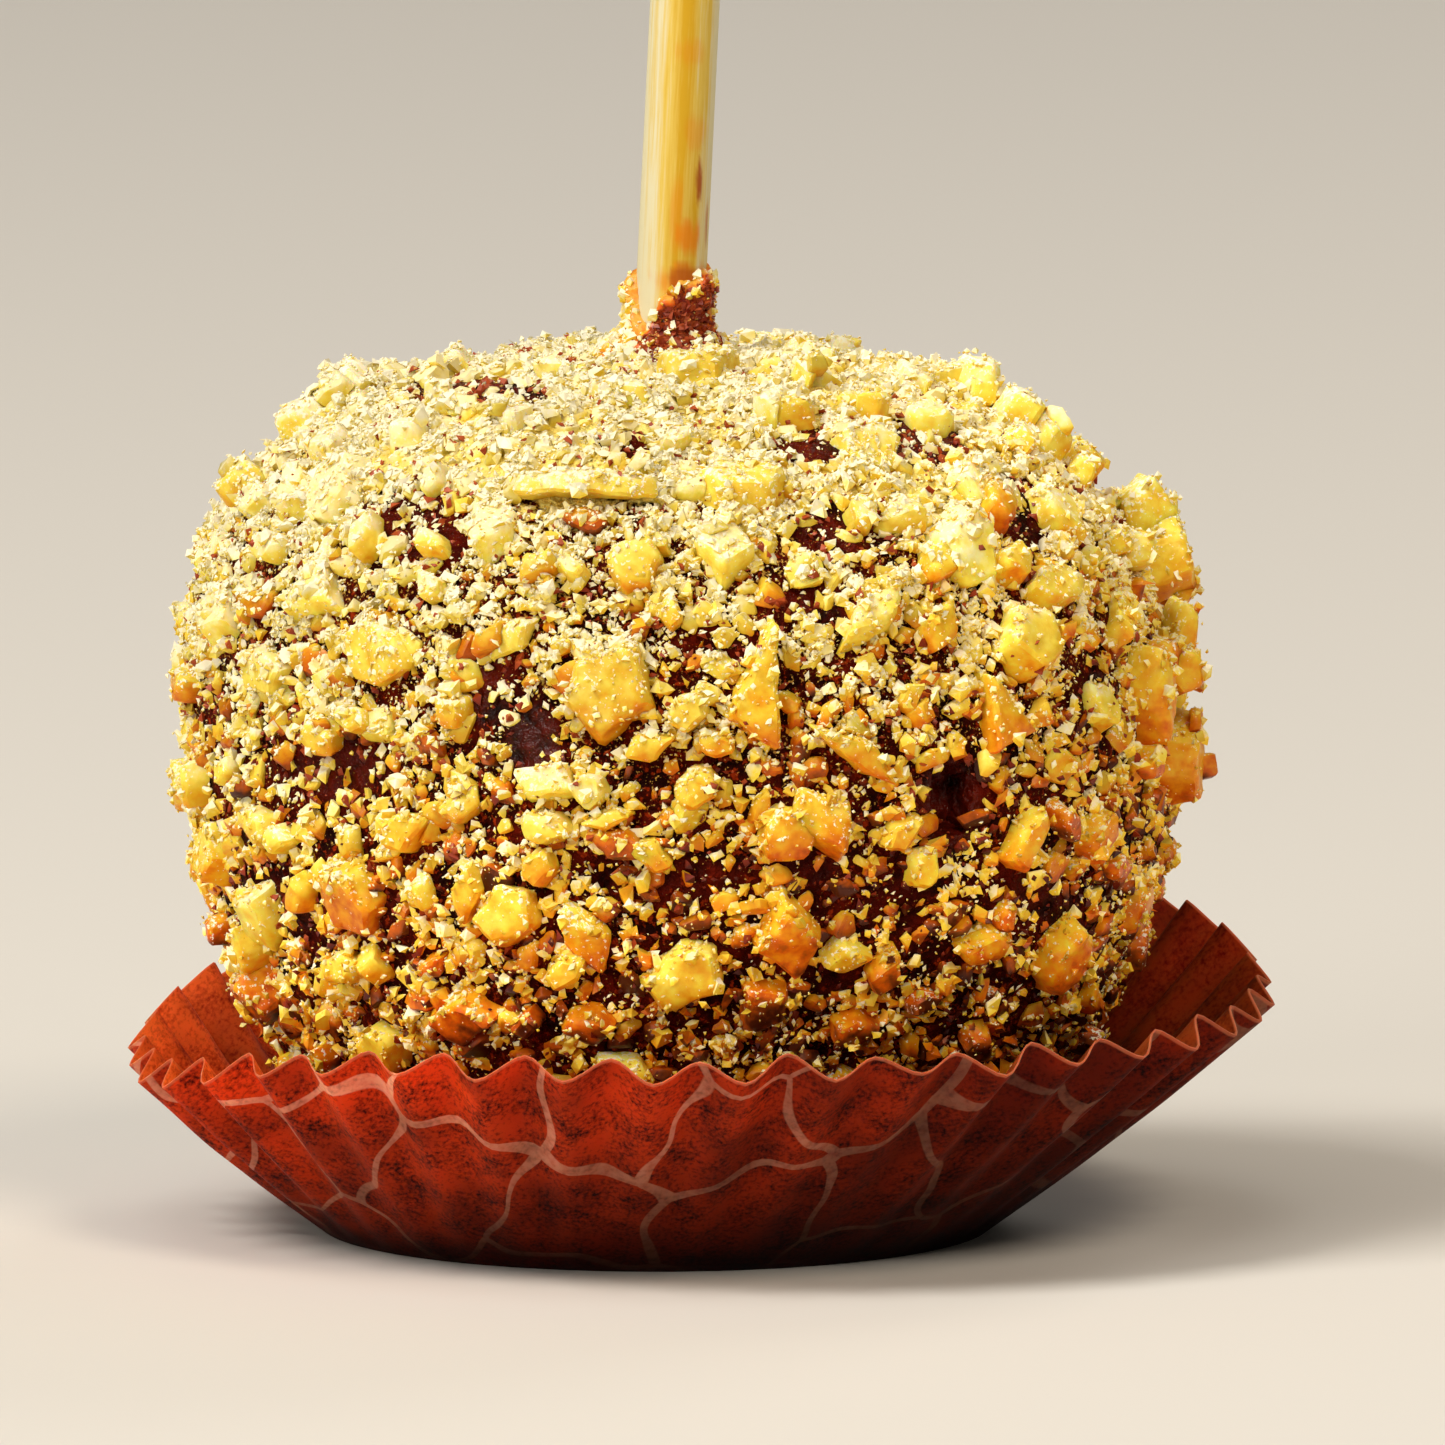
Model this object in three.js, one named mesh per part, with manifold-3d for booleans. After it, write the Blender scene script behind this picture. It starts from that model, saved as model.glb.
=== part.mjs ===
// A caramel apple rolled in crushed toffee, on a round wooden stick, standing in a fluted paper case.
//
// Millimetres, +Z up. The origin is the middle of the paper case's base, on the surface it stands on.
// The front of the apple faces -Y and its right side faces +X.
//
// Three separate pieces, one mesh each:
//   coated_apple  the dipped apple, its collar round the stick and the toffee fused to it
//   stick         the birch stick, down in its socket
//   paper_case    the fluted case

import * as THREE from "three";
import { mergeVertices } from "three/addons/utils/BufferGeometryUtils.js";
import Module from "manifold-3d";

// ---- driving dimensions ---------------------------------------------------------------------------

const GAP = 0.3; // left between pieces that touch

// The dipped apple, without its toffee: an upright, flat-topped body on a small flat foot.
const APPLE = {
  widest: 42.3, // radius at the waist
  waist: 41, // height of the widest ring
  crown: 76.2, // height of the flat top
  shoulder: 2.7, // 2 is a round shoulder, more is a squarer one
  keel: -2.5, // height at which the round lower half would close
  foot: 5.1, // height at which the lower half turns down to the foot
  footRadius: 18,
  shiftX: 3, // of the waist from the middle of the case
  lean: 2.2, // of the crown, back to the left of the waist
  around: 48, // facets round the body
  rings: 20,
};
// Broad swells of the uneven body: depth, lobes round it, turns per millimetre of height, start.
const SWELLS = [
  { depth: 0.8, lobes: 2, rise: 0.03, start: 0.7 },
  { depth: 0.6, lobes: 3, rise: -0.07, start: 2.1 },
  { depth: 0.5, lobes: 5, rise: 0.02, start: 4.0 },
  { depth: 0.4, lobes: 4, rise: 0.12, start: 1.3 },
];

const STICK = {
  radius: 3,
  length: 114,
  sunk: 50, // how much of it is down in the apple
  rounding: 0.5, // of its two ends
  tilt: THREE.MathUtils.degToRad(2.8), // from upright, to the right going up
  entryX: 1.1, // where its axis meets the crown
  around: 24,
};

// The collar of caramel that climbs the stick: how far out it stands, by height above the crown.
const COLLAR = { below: 6, spread: 7.2, foot: 5.6, neck: 4.5, bulge: 4.3, lip: 3.9, height: 7.4, around: 20 };

const PAPER = {
  thickness: 0.4,
  baseRadius: 29,
  rimRadius: 48.8,
  rimHeight: 20,
  shiftX: 3.9, // of the rim from the middle of the base
  flutes: 40,
  fluteDepth: 0.85, // in and out of the wall, at the rim
  uneven: 0.35, // share by which one fluted fold differs from the next
  flare: 1.12, // how far a fold's rim drops for each millimetre that it stands out
  belly: 0.8, // how far the wall bows down between base and rim
  rows: 5,
};
// Where the rim is pulled out of level: height of the lift, direction and half width, in degrees.
const RIM_LIFTS = [
  { lift: 5, at: 38, width: 30 },
  { lift: -5, at: 190, width: 32 },
];

// The large toffee shards of the front, as they are seen from in front and a little above: x and up
// place the middle, long and short are the outline, turn is its slope from level, lean tips the
// upper edge out of the wall, and proud is how far the broad face stands out of the coat.
const VIEW_DROP = THREE.MathUtils.degToRad(7);
const FRONT_SHARDS = [
  { x: -6.5, up: 63.5, long: 13.8, short: 6.4, thick: 2.0, turn: 0, lean: -56, proud: 1.3, corners: 5 },
  { x: -29.8, up: 55.4, long: 7.6, short: 6.8, thick: 2.0, turn: 90, lean: -12, proud: 1.2, corners: 3 },
  { x: -1.6, up: 56.9, long: 6.6, short: 5.8, thick: 2.2, turn: 80, lean: 0, proud: 1.4, corners: 6 },
  { x: -3.9, up: 46.5, long: 9.6, short: 8.4, thick: 2.4, turn: 60, lean: -4, proud: 1.6, corners: 5 },
  { x: 9.9, up: 46.1, long: 10.4, short: 6.4, thick: 2.2, turn: 72, lean: 8, proud: 1.5, corners: 3 },
  { x: 18.4, up: 52.2, long: 8.6, short: 4.0, thick: 2.8, turn: 40, lean: -14, proud: 2.0, corners: 4 },
  { x: 23.8, up: 51.7, long: 5.8, short: 4.8, thick: 2.0, turn: 70, lean: 0, proud: 1.3, corners: 4 },
  { x: 30.9, up: 50.5, long: 7.4, short: 6.8, thick: 3.2, turn: -30, lean: -10, proud: 2.4, corners: 5 },
  { x: 29.0, up: 44.2, long: 7.2, short: 5.8, thick: 2.4, turn: 100, lean: 5, proud: 1.6, corners: 3 },
  { x: 17.1, up: 41.0, long: 9.4, short: 3.2, thick: 2.4, turn: -32, lean: 10, proud: 1.7, corners: 4 },
  { x: 43.0, up: 57.6, long: 10.0, short: 6.4, thick: 4.6, turn: 70, lean: 12, proud: 4.1, corners: 5 },
  { x: 42.2, up: 46.0, long: 10.0, short: 5.0, thick: 3.4, turn: 96, lean: 0, proud: 2.4, corners: 4 },
  { x: 45.0, up: 40.5, long: 9.8, short: 7.4, thick: 3.6, turn: 90, lean: 0, proud: 2.8, corners: 6 },
  { x: -12.4, up: 27.1, long: 7.0, short: 5.8, thick: 2.8, turn: 30, lean: -8, proud: 2.1, corners: 5 },
  { x: 11.6, up: 25.1, long: 8.8, short: 7.0, thick: 2.6, turn: 95, lean: 12, proud: 2.0, corners: 4 },
  { x: 2.4, up: 21.8, long: 8.0, short: 6.8, thick: 2.6, turn: 35, lean: -6, proud: 2.0, corners: 5 },
  { x: 9.3, up: 19.3, long: 6.6, short: 5.6, thick: 2.4, turn: 50, lean: 10, proud: 1.2, corners: 4 },
  { x: -15.7, up: 18.1, long: 7.4, short: 5.8, thick: 2.4, turn: -8, lean: 10, proud: 1.6, corners: 4 },
  { x: -23.6, up: 15.4, long: 7.4, short: 5.6, thick: 2.6, turn: 25, lean: -6, proud: 1.7, corners: 5 },
  { x: -21.3, up: 34.0, long: 6.2, short: 4.2, thick: 2.2, turn: 18, lean: 0, proud: 1.5, corners: 4 },
  { x: -35.2, up: 64.0, long: 5.6, short: 4.8, thick: 2.8, turn: 60, lean: -6, proud: 2.0, corners: 5 },
  { x: 4.0, up: 73.8, long: 8.8, short: 6.6, thick: 2.8, turn: 12, lean: -8, proud: 1.9, corners: 5 },
  { x: 7.8, up: 64.1, long: 8.8, short: 6.4, thick: 2.2, turn: -6, lean: -20, proud: 1.4, corners: 6 },
];

// The shards everywhere else, spread evenly by a spiral and sized by a seeded draw.
const SCATTER = {
  count: 200,
  lowest: -0.66, // sine of the latitude at which they start, below the waist
  highest: 0.985,
  shortest: 3.6,
  longest: 8.2,
  lean: 22, // degrees either way
  room: 0.62, // how close two may lie, as a share of their lengths
  seed: 4127,
};

// The square pit that a lost shard left in the coat, at x and up on the front.
const PIT = { x: 25.9, up: 36.5, wide: 3.2, high: 5.4, deep: 3 };

const WELD = 1e-3; // vertices this close are one

// ---- small helpers --------------------------------------------------------------------------------

const { degToRad, lerp, clamp } = THREE.MathUtils;
const wasm = await Module();
wasm.setup();

/** The same even draw of numbers from 0 to 1 for the same seed. */
function seededDraw(seed) {
  const factor = 48271;
  const modulus = 2147483647;
  let state = seed;
  return () => {
    state = (state * factor) % modulus;
    return state / modulus;
  };
}

/** A closed geometry with only its positions, and each shared vertex once. */
function welded(geometry) {
  for (const name of ["normal", "uv"]) geometry.deleteAttribute(name);
  return mergeVertices(geometry, WELD);
}

/** A closed geometry as a solid that can be joined and cut. */
function solidOf(geometry) {
  const closed = welded(geometry);
  return new wasm.Manifold(
    new wasm.Mesh({
      numProp: 3,
      vertProperties: closed.attributes.position.array,
      triVerts: Uint32Array.from(closed.index.array),
    }),
  );
}

/** A solid as a three.js geometry: its largest body, with any hollow that joining sealed filled. */
function geometryOf(solid) {
  const bodies = solid.decompose();
  const largest = bodies.reduce((a, b) => (a.volume() > b.volume() ? a : b));
  const { vertProperties, triVerts } = largest.getMesh();
  return new THREE.BufferGeometry()
    .setAttribute("position", new THREE.BufferAttribute(vertProperties, 3))
    .setIndex(new THREE.BufferAttribute(triVerts, 1));
}

/** A profile of [radius, height] pairs spun round +Z. */
function spun(profile, around) {
  const points = profile.map(([radius, height]) => new THREE.Vector2(radius, height));
  return new THREE.LatheGeometry(points, around).rotateX(Math.PI / 2);
}

/** Moves each vertex of a geometry by a function that changes it in place. */
function reshape(geometry, change) {
  const positions = geometry.attributes.position;
  const vertex = new THREE.Vector3();
  for (let i = 0; i < positions.count; i++) {
    change(vertex.fromBufferAttribute(positions, i));
    positions.setXYZ(i, vertex.x, vertex.y, vertex.z);
  }
  return geometry;
}

/** A named mesh with the finish of its material. */
function piece(name, geometry, color, roughness) {
  geometry.computeVertexNormals();
  const mesh = new THREE.Mesh(
    geometry,
    new THREE.MeshStandardMaterial({ color, roughness, metalness: 0, flatShading: true }),
  );
  mesh.name = name;
  return mesh;
}

// ---- the surface of the dipped apple --------------------------------------------------------------

/** Radius and height of the plain body at a latitude from -90 degrees, its keel, to 90, its crown. */
function ringAt(latitude) {
  const upper = latitude >= 0;
  const power = upper ? 2 / APPLE.shoulder : 1;
  const reach = upper ? APPLE.crown - APPLE.waist : APPLE.waist - APPLE.keel;
  const out = Math.max(0, Math.cos(degToRad(latitude)));
  const rise = Math.abs(Math.sin(degToRad(latitude)));
  const radius = latitude >= 90 ? 0 : APPLE.widest * out ** power;
  return { radius, height: APPLE.waist + Math.sign(latitude) * reach * rise ** power };
}

/** How far the body's axis stands to the right of the case's, at a height. */
function axisX(height) {
  const span = APPLE.crown - APPLE.waist;
  return APPLE.shiftX - APPLE.lean * ((height - APPLE.waist) / span) ** 2;
}

/** How far the uneven body swells out at an angle round it and a height. */
function swell(angle, height) {
  return SWELLS.reduce(
    (sum, s) => sum + s.depth * Math.sin(s.lobes * angle + s.rise * height + s.start),
    0,
  );
}

/** Turns a point of the plain round body into the point of the uneven, leaning one. */
function unevenBody(point) {
  const radius = Math.hypot(point.x, point.y);
  const angle = Math.atan2(point.y, point.x);
  const grown = radius * (1 + swell(angle, point.z) / APPLE.widest);
  point.set(axisX(point.z) + grown * Math.cos(angle), grown * Math.sin(angle), point.z);
}

/** The point of the coat at a latitude and an angle from +X. */
function coatPoint(latitude, angle) {
  const { radius, height } = ringAt(latitude);
  const point = new THREE.Vector3(radius * Math.cos(angle), radius * Math.sin(angle), height);
  unevenBody(point);
  return point;
}

/** The coat's point, outward normal and two directions along it: round, and up the body. */
function coatSpot(latitude, angle) {
  const step = 0.5;
  const point = coatPoint(latitude, angle);
  const round = coatPoint(latitude, angle + degToRad(step)).sub(point).normalize();
  const upward = coatPoint(latitude + step, angle).sub(point).normalize();
  const normal = new THREE.Vector3().crossVectors(round, upward).normalize();
  return { point, normal, round, upward: new THREE.Vector3().crossVectors(normal, round) };
}

/** The spot on the front of the coat that stands at x and up in the plane facing the viewer. */
function frontSpot(x, up) {
  const seenUp = (p) => p.z * Math.cos(VIEW_DROP) + p.y * Math.sin(VIEW_DROP);
  const angleAt = (latitude) => {
    const { radius, height } = ringAt(latitude);
    return -Math.acos(clamp((x - axisX(height)) / Math.max(radius, 1e-6), -1, 1));
  };
  let low = -60;
  let high = 85;
  for (let i = 0; i < 30; i++) {
    const middle = (low + high) / 2;
    if (seenUp(coatPoint(middle, angleAt(middle))) < up) low = middle;
    else high = middle;
  }
  return coatSpot(low, angleAt(low));
}

// ---- toffee ---------------------------------------------------------------------------------------

/** An irregular flat shard about the origin, its broad face towards +Z. */
function shard({ long, short, thick, corners }, draw) {
  const outline = Array.from({ length: corners }, (_, i) => {
    const angle = ((i + 0.5 * (draw() - 0.5)) / corners) * 2 * Math.PI;
    const reach = corners === 3 ? 0.6 : lerp(0.46, 0.54, draw());
    return new THREE.Vector2(reach * long * Math.cos(angle), reach * short * Math.sin(angle));
  });
  const slab = new THREE.ExtrudeGeometry(new THREE.Shape(outline), { depth: thick, bevelEnabled: false });
  slab.translate(0, 0, -thick / 2);
  const bite = 0.16 * short; // the broken sides slope in towards the upper face
  return reshape(slab, (v) => {
    if (v.z < 0) return;
    const reach = Math.hypot(v.x, v.y);
    v.x *= 1 - bite / reach;
    v.y *= 1 - bite / reach;
  });
}

/** A shard laid on a spot of the coat, turned, tipped and pushed out as asked. */
function laidShard(spot, form, draw) {
  const axes = new THREE.Matrix4().makeBasis(spot.round, spot.upward, spot.normal);
  const tipped = new THREE.Matrix4()
    .makeRotationX(degToRad(form.lean))
    .multiply(new THREE.Matrix4().makeRotationZ(degToRad(form.turn)));
  const middle = spot.point.clone().addScaledVector(spot.normal, form.proud - form.thick / 2);
  const placed = axes.multiply(tipped).setPosition(middle);
  return solidOf(shard(form, draw).applyMatrix4(placed));
}

/** Every shard's spot and form: the named ones of the front, then the scattered rest. */
function shardPlan(draw) {
  const plan = FRONT_SHARDS.map((form) => ({ spot: frontSpot(form.x, form.up), form }));
  const goldenAngle = Math.PI * (3 - Math.sqrt(5));
  for (let i = 0; i < SCATTER.count; i++) {
    const height = lerp(SCATTER.lowest, SCATTER.highest, (i + 0.5) / SCATTER.count);
    const latitude = Math.asin(height) / degToRad(1);
    const long = lerp(SCATTER.shortest, SCATTER.longest, draw() ** 2);
    const thick = lerp(1.6, 2.8, draw());
    const form = {
      long,
      short: long * lerp(0.55, 0.9, draw()),
      thick,
      turn: 180 * draw(),
      lean: SCATTER.lean * (2 * draw() - 1),
      proud: thick * lerp(0.45, 0.8, draw()),
      corners: 4 + Math.floor(3 * draw()),
    };
    const spot = coatSpot(latitude, i * goldenAngle);
    const clear = plan.every(
      (other) => other.spot.point.distanceTo(spot.point) > SCATTER.room * (other.form.long + long) * 0.5 + 1,
    );
    const offStick = Math.hypot(spot.point.x - STICK.entryX, spot.point.y) > COLLAR.spread + long / 2;
    if (clear && (offStick || spot.point.z < APPLE.waist)) plan.push({ spot, form });
  }
  return plan;
}

// ---- the pieces -----------------------------------------------------------------------------------

/** The dipped apple as a solid body, uneven all over, on its flat foot. */
function apple() {
  const base = PAPER.thickness + GAP;
  const lowest = -Math.asin((APPLE.waist - APPLE.foot) / (APPLE.waist - APPLE.keel)) / degToRad(1);
  const profile = [
    [0, base],
    [APPLE.footRadius, base],
    [APPLE.footRadius + 3, base + 1.5],
  ];
  for (let i = 0; i <= APPLE.rings; i++) {
    const { radius, height } = ringAt(lerp(lowest, 90, i / APPLE.rings));
    profile.push([radius, height]);
  }
  return solidOf(reshape(spun(profile, APPLE.around), unevenBody));
}

/** Places a solid or mesh made about the stick's axis, z = 0 being where the axis meets the crown. */
function alongStick(geometry) {
  return geometry.rotateY(STICK.tilt).translate(STICK.entryX, 0, APPLE.crown);
}

/** The collar of caramel round the stick's foot, lumpy and thicker to the right. */
function collar() {
  const { below, spread, foot, neck, bulge, lip, height, around } = COLLAR;
  const profile = [
    [0, -below],
    [spread, -below],
    [spread, -below / 3],
    [foot, 0.2],
    [neck, 1.6],
    [neck - 0.2, 3],
    [bulge, 4.4],
    [lip, height],
    [0, height],
  ];
  const lumpy = (v) => {
    const angle = Math.atan2(v.y, v.x);
    const grown = 1 + 0.06 * Math.sin(3 * angle + v.z) + 0.04 * Math.cos(angle);
    v.x *= grown;
    v.y *= grown;
  };
  return solidOf(alongStick(reshape(spun(profile, around), lumpy)));
}

/** The blind hole that the stick is pushed into. */
function socket() {
  const radius = STICK.radius + GAP;
  const top = COLLAR.height + 1;
  const bottom = -STICK.sunk - GAP;
  const profile = [
    [0, bottom],
    [radius, bottom],
    [radius, top],
    [0, top],
  ];
  return solidOf(alongStick(spun(profile, STICK.around)));
}

/** The space of the pit, sunk into the front of the coat. */
function pit() {
  const { point, normal, round, upward } = frontSpot(PIT.x, PIT.up);
  const block = new THREE.BoxGeometry(PIT.wide, PIT.high, 2 * PIT.deep);
  const place = new THREE.Matrix4().makeBasis(round, upward, normal).setPosition(point);
  return solidOf(block.applyMatrix4(place));
}

/** The apple, its collar and its toffee as one solid with the stick's socket in it. */
function coatedApple() {
  const draw = seededDraw(SCATTER.seed);
  const shards = shardPlan(draw).map(({ spot, form }) => laidShard(spot, form, draw));
  const coated = shards.reduce((whole, one) => whole.add(one), apple().add(collar()));
  return piece("coated_apple", geometryOf(coated.subtract(socket()).subtract(pit())), "#d3a23f", 0.6);
}

/** The round birch stick with its softened ends. */
function stick() {
  const { radius, length, sunk, rounding } = STICK;
  const profile = [
    [0, -sunk],
    [radius - rounding, -sunk],
    [radius, rounding - sunk],
    [radius, length - sunk - rounding],
    [radius - rounding, length - sunk],
    [0, length - sunk],
  ];
  return piece("stick", alongStick(welded(spun(profile, STICK.around))), "#e2c88c", 0.7);
}

/** How far the rim is lifted out of level, by direction. */
function rimLift(angle) {
  return RIM_LIFTS.reduce((sum, { lift, at, width }) => {
    const turn = THREE.MathUtils.euclideanModulo(angle / degToRad(1) - at + 180, 360) - 180;
    return sum + lift * Math.exp(-((turn / width) ** 2));
  }, 0);
}

/** The paper case: a flat base and a flared wall folded into flutes, one closed thin shell. */
function paperCase() {
  const { thickness, baseRadius, rimRadius, rimHeight, rows, flutes } = PAPER;
  const folds = 2 * flutes; // one outward and one inward fold to each flute
  const draw = seededDraw(flutes);
  const depths = Array.from({ length: folds }, (_, i) => {
    const outward = i % 2 ? 1 : -1;
    return outward * PAPER.fluteDepth * (1 + PAPER.uneven * (2 * draw() - 1));
  });
  const wall = Array.from({ length: rows + 1 }, (_, i) => i / rows);
  const wallRadius = (share) => lerp(baseRadius, rimRadius, share);
  const wallHeight = (share) => rimHeight * share - PAPER.belly * Math.sin(Math.PI * share);
  const outside = wall.map((share) => [wallRadius(share), wallHeight(share)]);
  const inside = wall.map((share) => [wallRadius(share) - thickness, wallHeight(share) + thickness]);
  inside[0] = [baseRadius - thickness, thickness];
  const profile = [[0, 0], ...outside, ...inside.reverse(), [0, thickness]];
  const folded = (v) => {
    const radius = Math.hypot(v.x, v.y);
    const angle = Math.atan2(v.y, v.x);
    const share = clamp((radius - baseRadius) / (rimRadius - baseRadius), 0, 1);
    const fold = Math.round((angle / (2 * Math.PI)) * folds + folds) % folds;
    const out = depths[fold] * share;
    v.x = (radius + out) * Math.cos(angle) + PAPER.shiftX * share;
    v.y = (radius + out) * Math.sin(angle);
    v.z += share * (rimLift(angle) - PAPER.flare * out);
  };
  return piece("paper_case", welded(reshape(spun(profile, folds), folded)), "#5f1c10", 0.85);
}

const caramelApple = new THREE.Group();
caramelApple.add(coatedApple(), stick(), paperCase());

export default caramelApple;
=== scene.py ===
"""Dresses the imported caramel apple: toffee-crusted apple, wooden stick and printed paper case.

The shapes are worked out in millimetres, +Z up, with the origin in the middle of the paper case's base and
the front of the apple facing -Y. Each finished mesh is scaled to metres, and its object stays at the origin.
"""

from __future__ import annotations

import logging
import math
from collections.abc import Callable, Iterator, Sequence
from dataclasses import dataclass, field, replace
from enum import Enum
from functools import partial

import bmesh
import bpy
import numpy as np
from mathutils import Matrix, Vector, noise
from mathutils.bvhtree import BVHTree

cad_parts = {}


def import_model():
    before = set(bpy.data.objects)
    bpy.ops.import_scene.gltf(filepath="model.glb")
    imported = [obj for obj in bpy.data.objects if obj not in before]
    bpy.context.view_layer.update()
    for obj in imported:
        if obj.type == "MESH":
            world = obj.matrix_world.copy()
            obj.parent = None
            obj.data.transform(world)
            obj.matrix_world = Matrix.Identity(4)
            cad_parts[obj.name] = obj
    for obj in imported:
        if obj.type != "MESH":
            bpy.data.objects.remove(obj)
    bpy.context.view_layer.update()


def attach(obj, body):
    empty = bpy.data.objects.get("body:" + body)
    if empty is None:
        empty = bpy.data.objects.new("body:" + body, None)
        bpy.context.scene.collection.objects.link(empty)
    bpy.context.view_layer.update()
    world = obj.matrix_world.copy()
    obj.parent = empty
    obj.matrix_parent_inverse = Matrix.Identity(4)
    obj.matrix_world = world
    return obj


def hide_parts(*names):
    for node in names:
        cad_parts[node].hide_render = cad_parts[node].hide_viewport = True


MM = 0.001  # metres in a millimetre
TINY = 1e-9  # keeps a length that is divided by off zero
VIEW_DROP = math.radians(7)  # how far above level the front is seen from
# Pieces are painted paler and dustier on the side that the key lamp lights and deeper in colour on the other side:
# painted light and shade, with real dust settling on the upper side. The second row is what a whole piece's length in
# that direction adds to its marks.
LIT_AND_DUSTED_SIDE = np.array((-0.45, -0.1, 0.89))
PAINTED_LIGHT_AND_DUST_SHIFT = np.array((-0.3, 0.5, 0.0))
DROP_FROM = 9.0  # how far out from the coat each scattered piece starts to drop
DROP_REACH = 12.0  # and how far it drops at most

NodeAdder = Callable[..., bpy.types.Node]

log = logging.getLogger("caramel_apple")


class Slot(Enum):
    """Material slot names."""

    TOFFEE_COAT = "toffee_coat"
    WOOD = "wood"
    PAPER = "paper"


class Spread(Enum):
    """How a kind of piece lies on what is under it, as the spread of its tilt in radians."""

    FLAT = 0.42
    TILTED = 0.75
    TUMBLED = 3.0


class Build(Enum):
    """What a kind of piece is like: a cracked plate, a plain flake, a sugar crystal or a splinter."""

    PLATE = "plate"
    FLAKE = "flake"
    CRYSTAL = "crystal"
    SPLINTER = "splinter"


# ---- small tools ------------------------------------------------------------------------------------


def linear(hex_code: str) -> tuple[float, float, float, float]:
    """Turns an sRGB hex colour into linear red, green, blue and alpha.

    Args:
        hex_code: The colour, such as "#C98A2B".

    Returns:
        The linear colour with an alpha of 1.
    """
    parts = [int(hex_code[i : i + 2], 16) / 255 for i in (1, 3, 5)]
    red, green, blue = (p / 12.92 if p <= 0.04045 else ((p + 0.055) / 1.055) ** 2.4 for p in parts)
    return red, green, blue, 1.0


def mix(low: float, high: float, share: float) -> float:
    """Returns the value that lies at a share of the way from low to high."""
    return low + (high - low) * share


def eased(value: np.ndarray, low: float, high: float) -> np.ndarray:
    """Returns 0 below low, 1 above high and a smooth rise between, low may be above high."""
    share = np.clip((value - low) / (high - low), 0, 1)
    return share * share * (3 - 2 * share)


def seeded_draw(seed: int) -> Callable[[], float]:
    """Returns a function that draws the same even numbers from 0 to 1 for the same seed."""
    factor, modulus = 48271, 2147483647
    state = seed

    def draw() -> float:
        """Returns the next number."""
        nonlocal state
        state = state * factor % modulus
        return state / modulus

    return draw


def rough(points: np.ndarray, size: float, seed: float) -> np.ndarray:
    """Smooth random values from about -1 to 1 over points.

    Args:
        points: Rows of x, y, z in millimetres.
        size: How many millimetres one lump spans.
        seed: Picks another field of lumps.

    Returns:
        One value a point.
    """
    shift = Vector((seed, -2.3 * seed, 1.7 * seed))
    return np.array([noise.noise(Vector(p) / size + shift) for p in points.tolist()])


def graded(points: np.ndarray, grades: Sequence[tuple[float, float, float]]) -> np.ndarray:
    """Returns smooth random values over points in several grades added up: depth, size and seed of each."""
    return sum(depth * rough(points, size, seed) for depth, size, seed in grades)


def add_node(
    tree: bpy.types.NodeTree,
    kind: str,
    inputs: Sequence[object] | dict[str | int, object] = (),
    stops: Sequence[tuple[float, str]] = (),
    **settings: object,
) -> bpy.types.Node:
    """Adds a node with its settings and links.

    Args:
        tree: The node tree.
        kind: The node's type name, without "ShaderNode".
        inputs: What each socket gets, in order or by its name or number: a value, an output, or a node for its
            first output. A MapRange's are the value, the two ends of its range and what those ends become.
        stops: A colour ramp's positions and sRGB colours.
        **settings: Properties of the node.

    Returns:
        The new node.
    """
    node = tree.nodes.new("ShaderNode" + kind)
    for name, value in settings.items():
        setattr(node, name, value)
    for place, (position, colour) in enumerate(stops):
        elements = node.color_ramp.elements
        element = elements[place] if place < 2 else elements.new(position)
        element.position = position
        element.color = linear(colour)
    for socket, value in inputs.items() if isinstance(inputs, dict) else enumerate(inputs):
        source = value.outputs[0] if isinstance(value, bpy.types.Node) else value
        if isinstance(source, bpy.types.NodeSocket):
            tree.links.new(source, node.inputs[socket])
        else:
            node.inputs[socket].default_value = source
    return node


def new_material(name: str) -> tuple[bpy.types.Material, NodeAdder]:
    """Starts a material.

    Args:
        name: Its name.

    Returns:
        The material, its nodes cleared away, and add_node for its tree.
    """
    material = bpy.data.materials.new(name)
    material.use_nodes = True
    material.node_tree.nodes.clear()
    return material, partial(add_node, material.node_tree)


def read_marks(add: NodeAdder) -> Sequence[bpy.types.NodeSocket]:
    """Returns the outputs of the three marks that a piece carries at each vertex."""
    return add("SeparateXYZ", (add("Attribute", attribute_name="marks").outputs["Vector"],)).outputs


# ---- meshes -----------------------------------------------------------------------------------------


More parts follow.
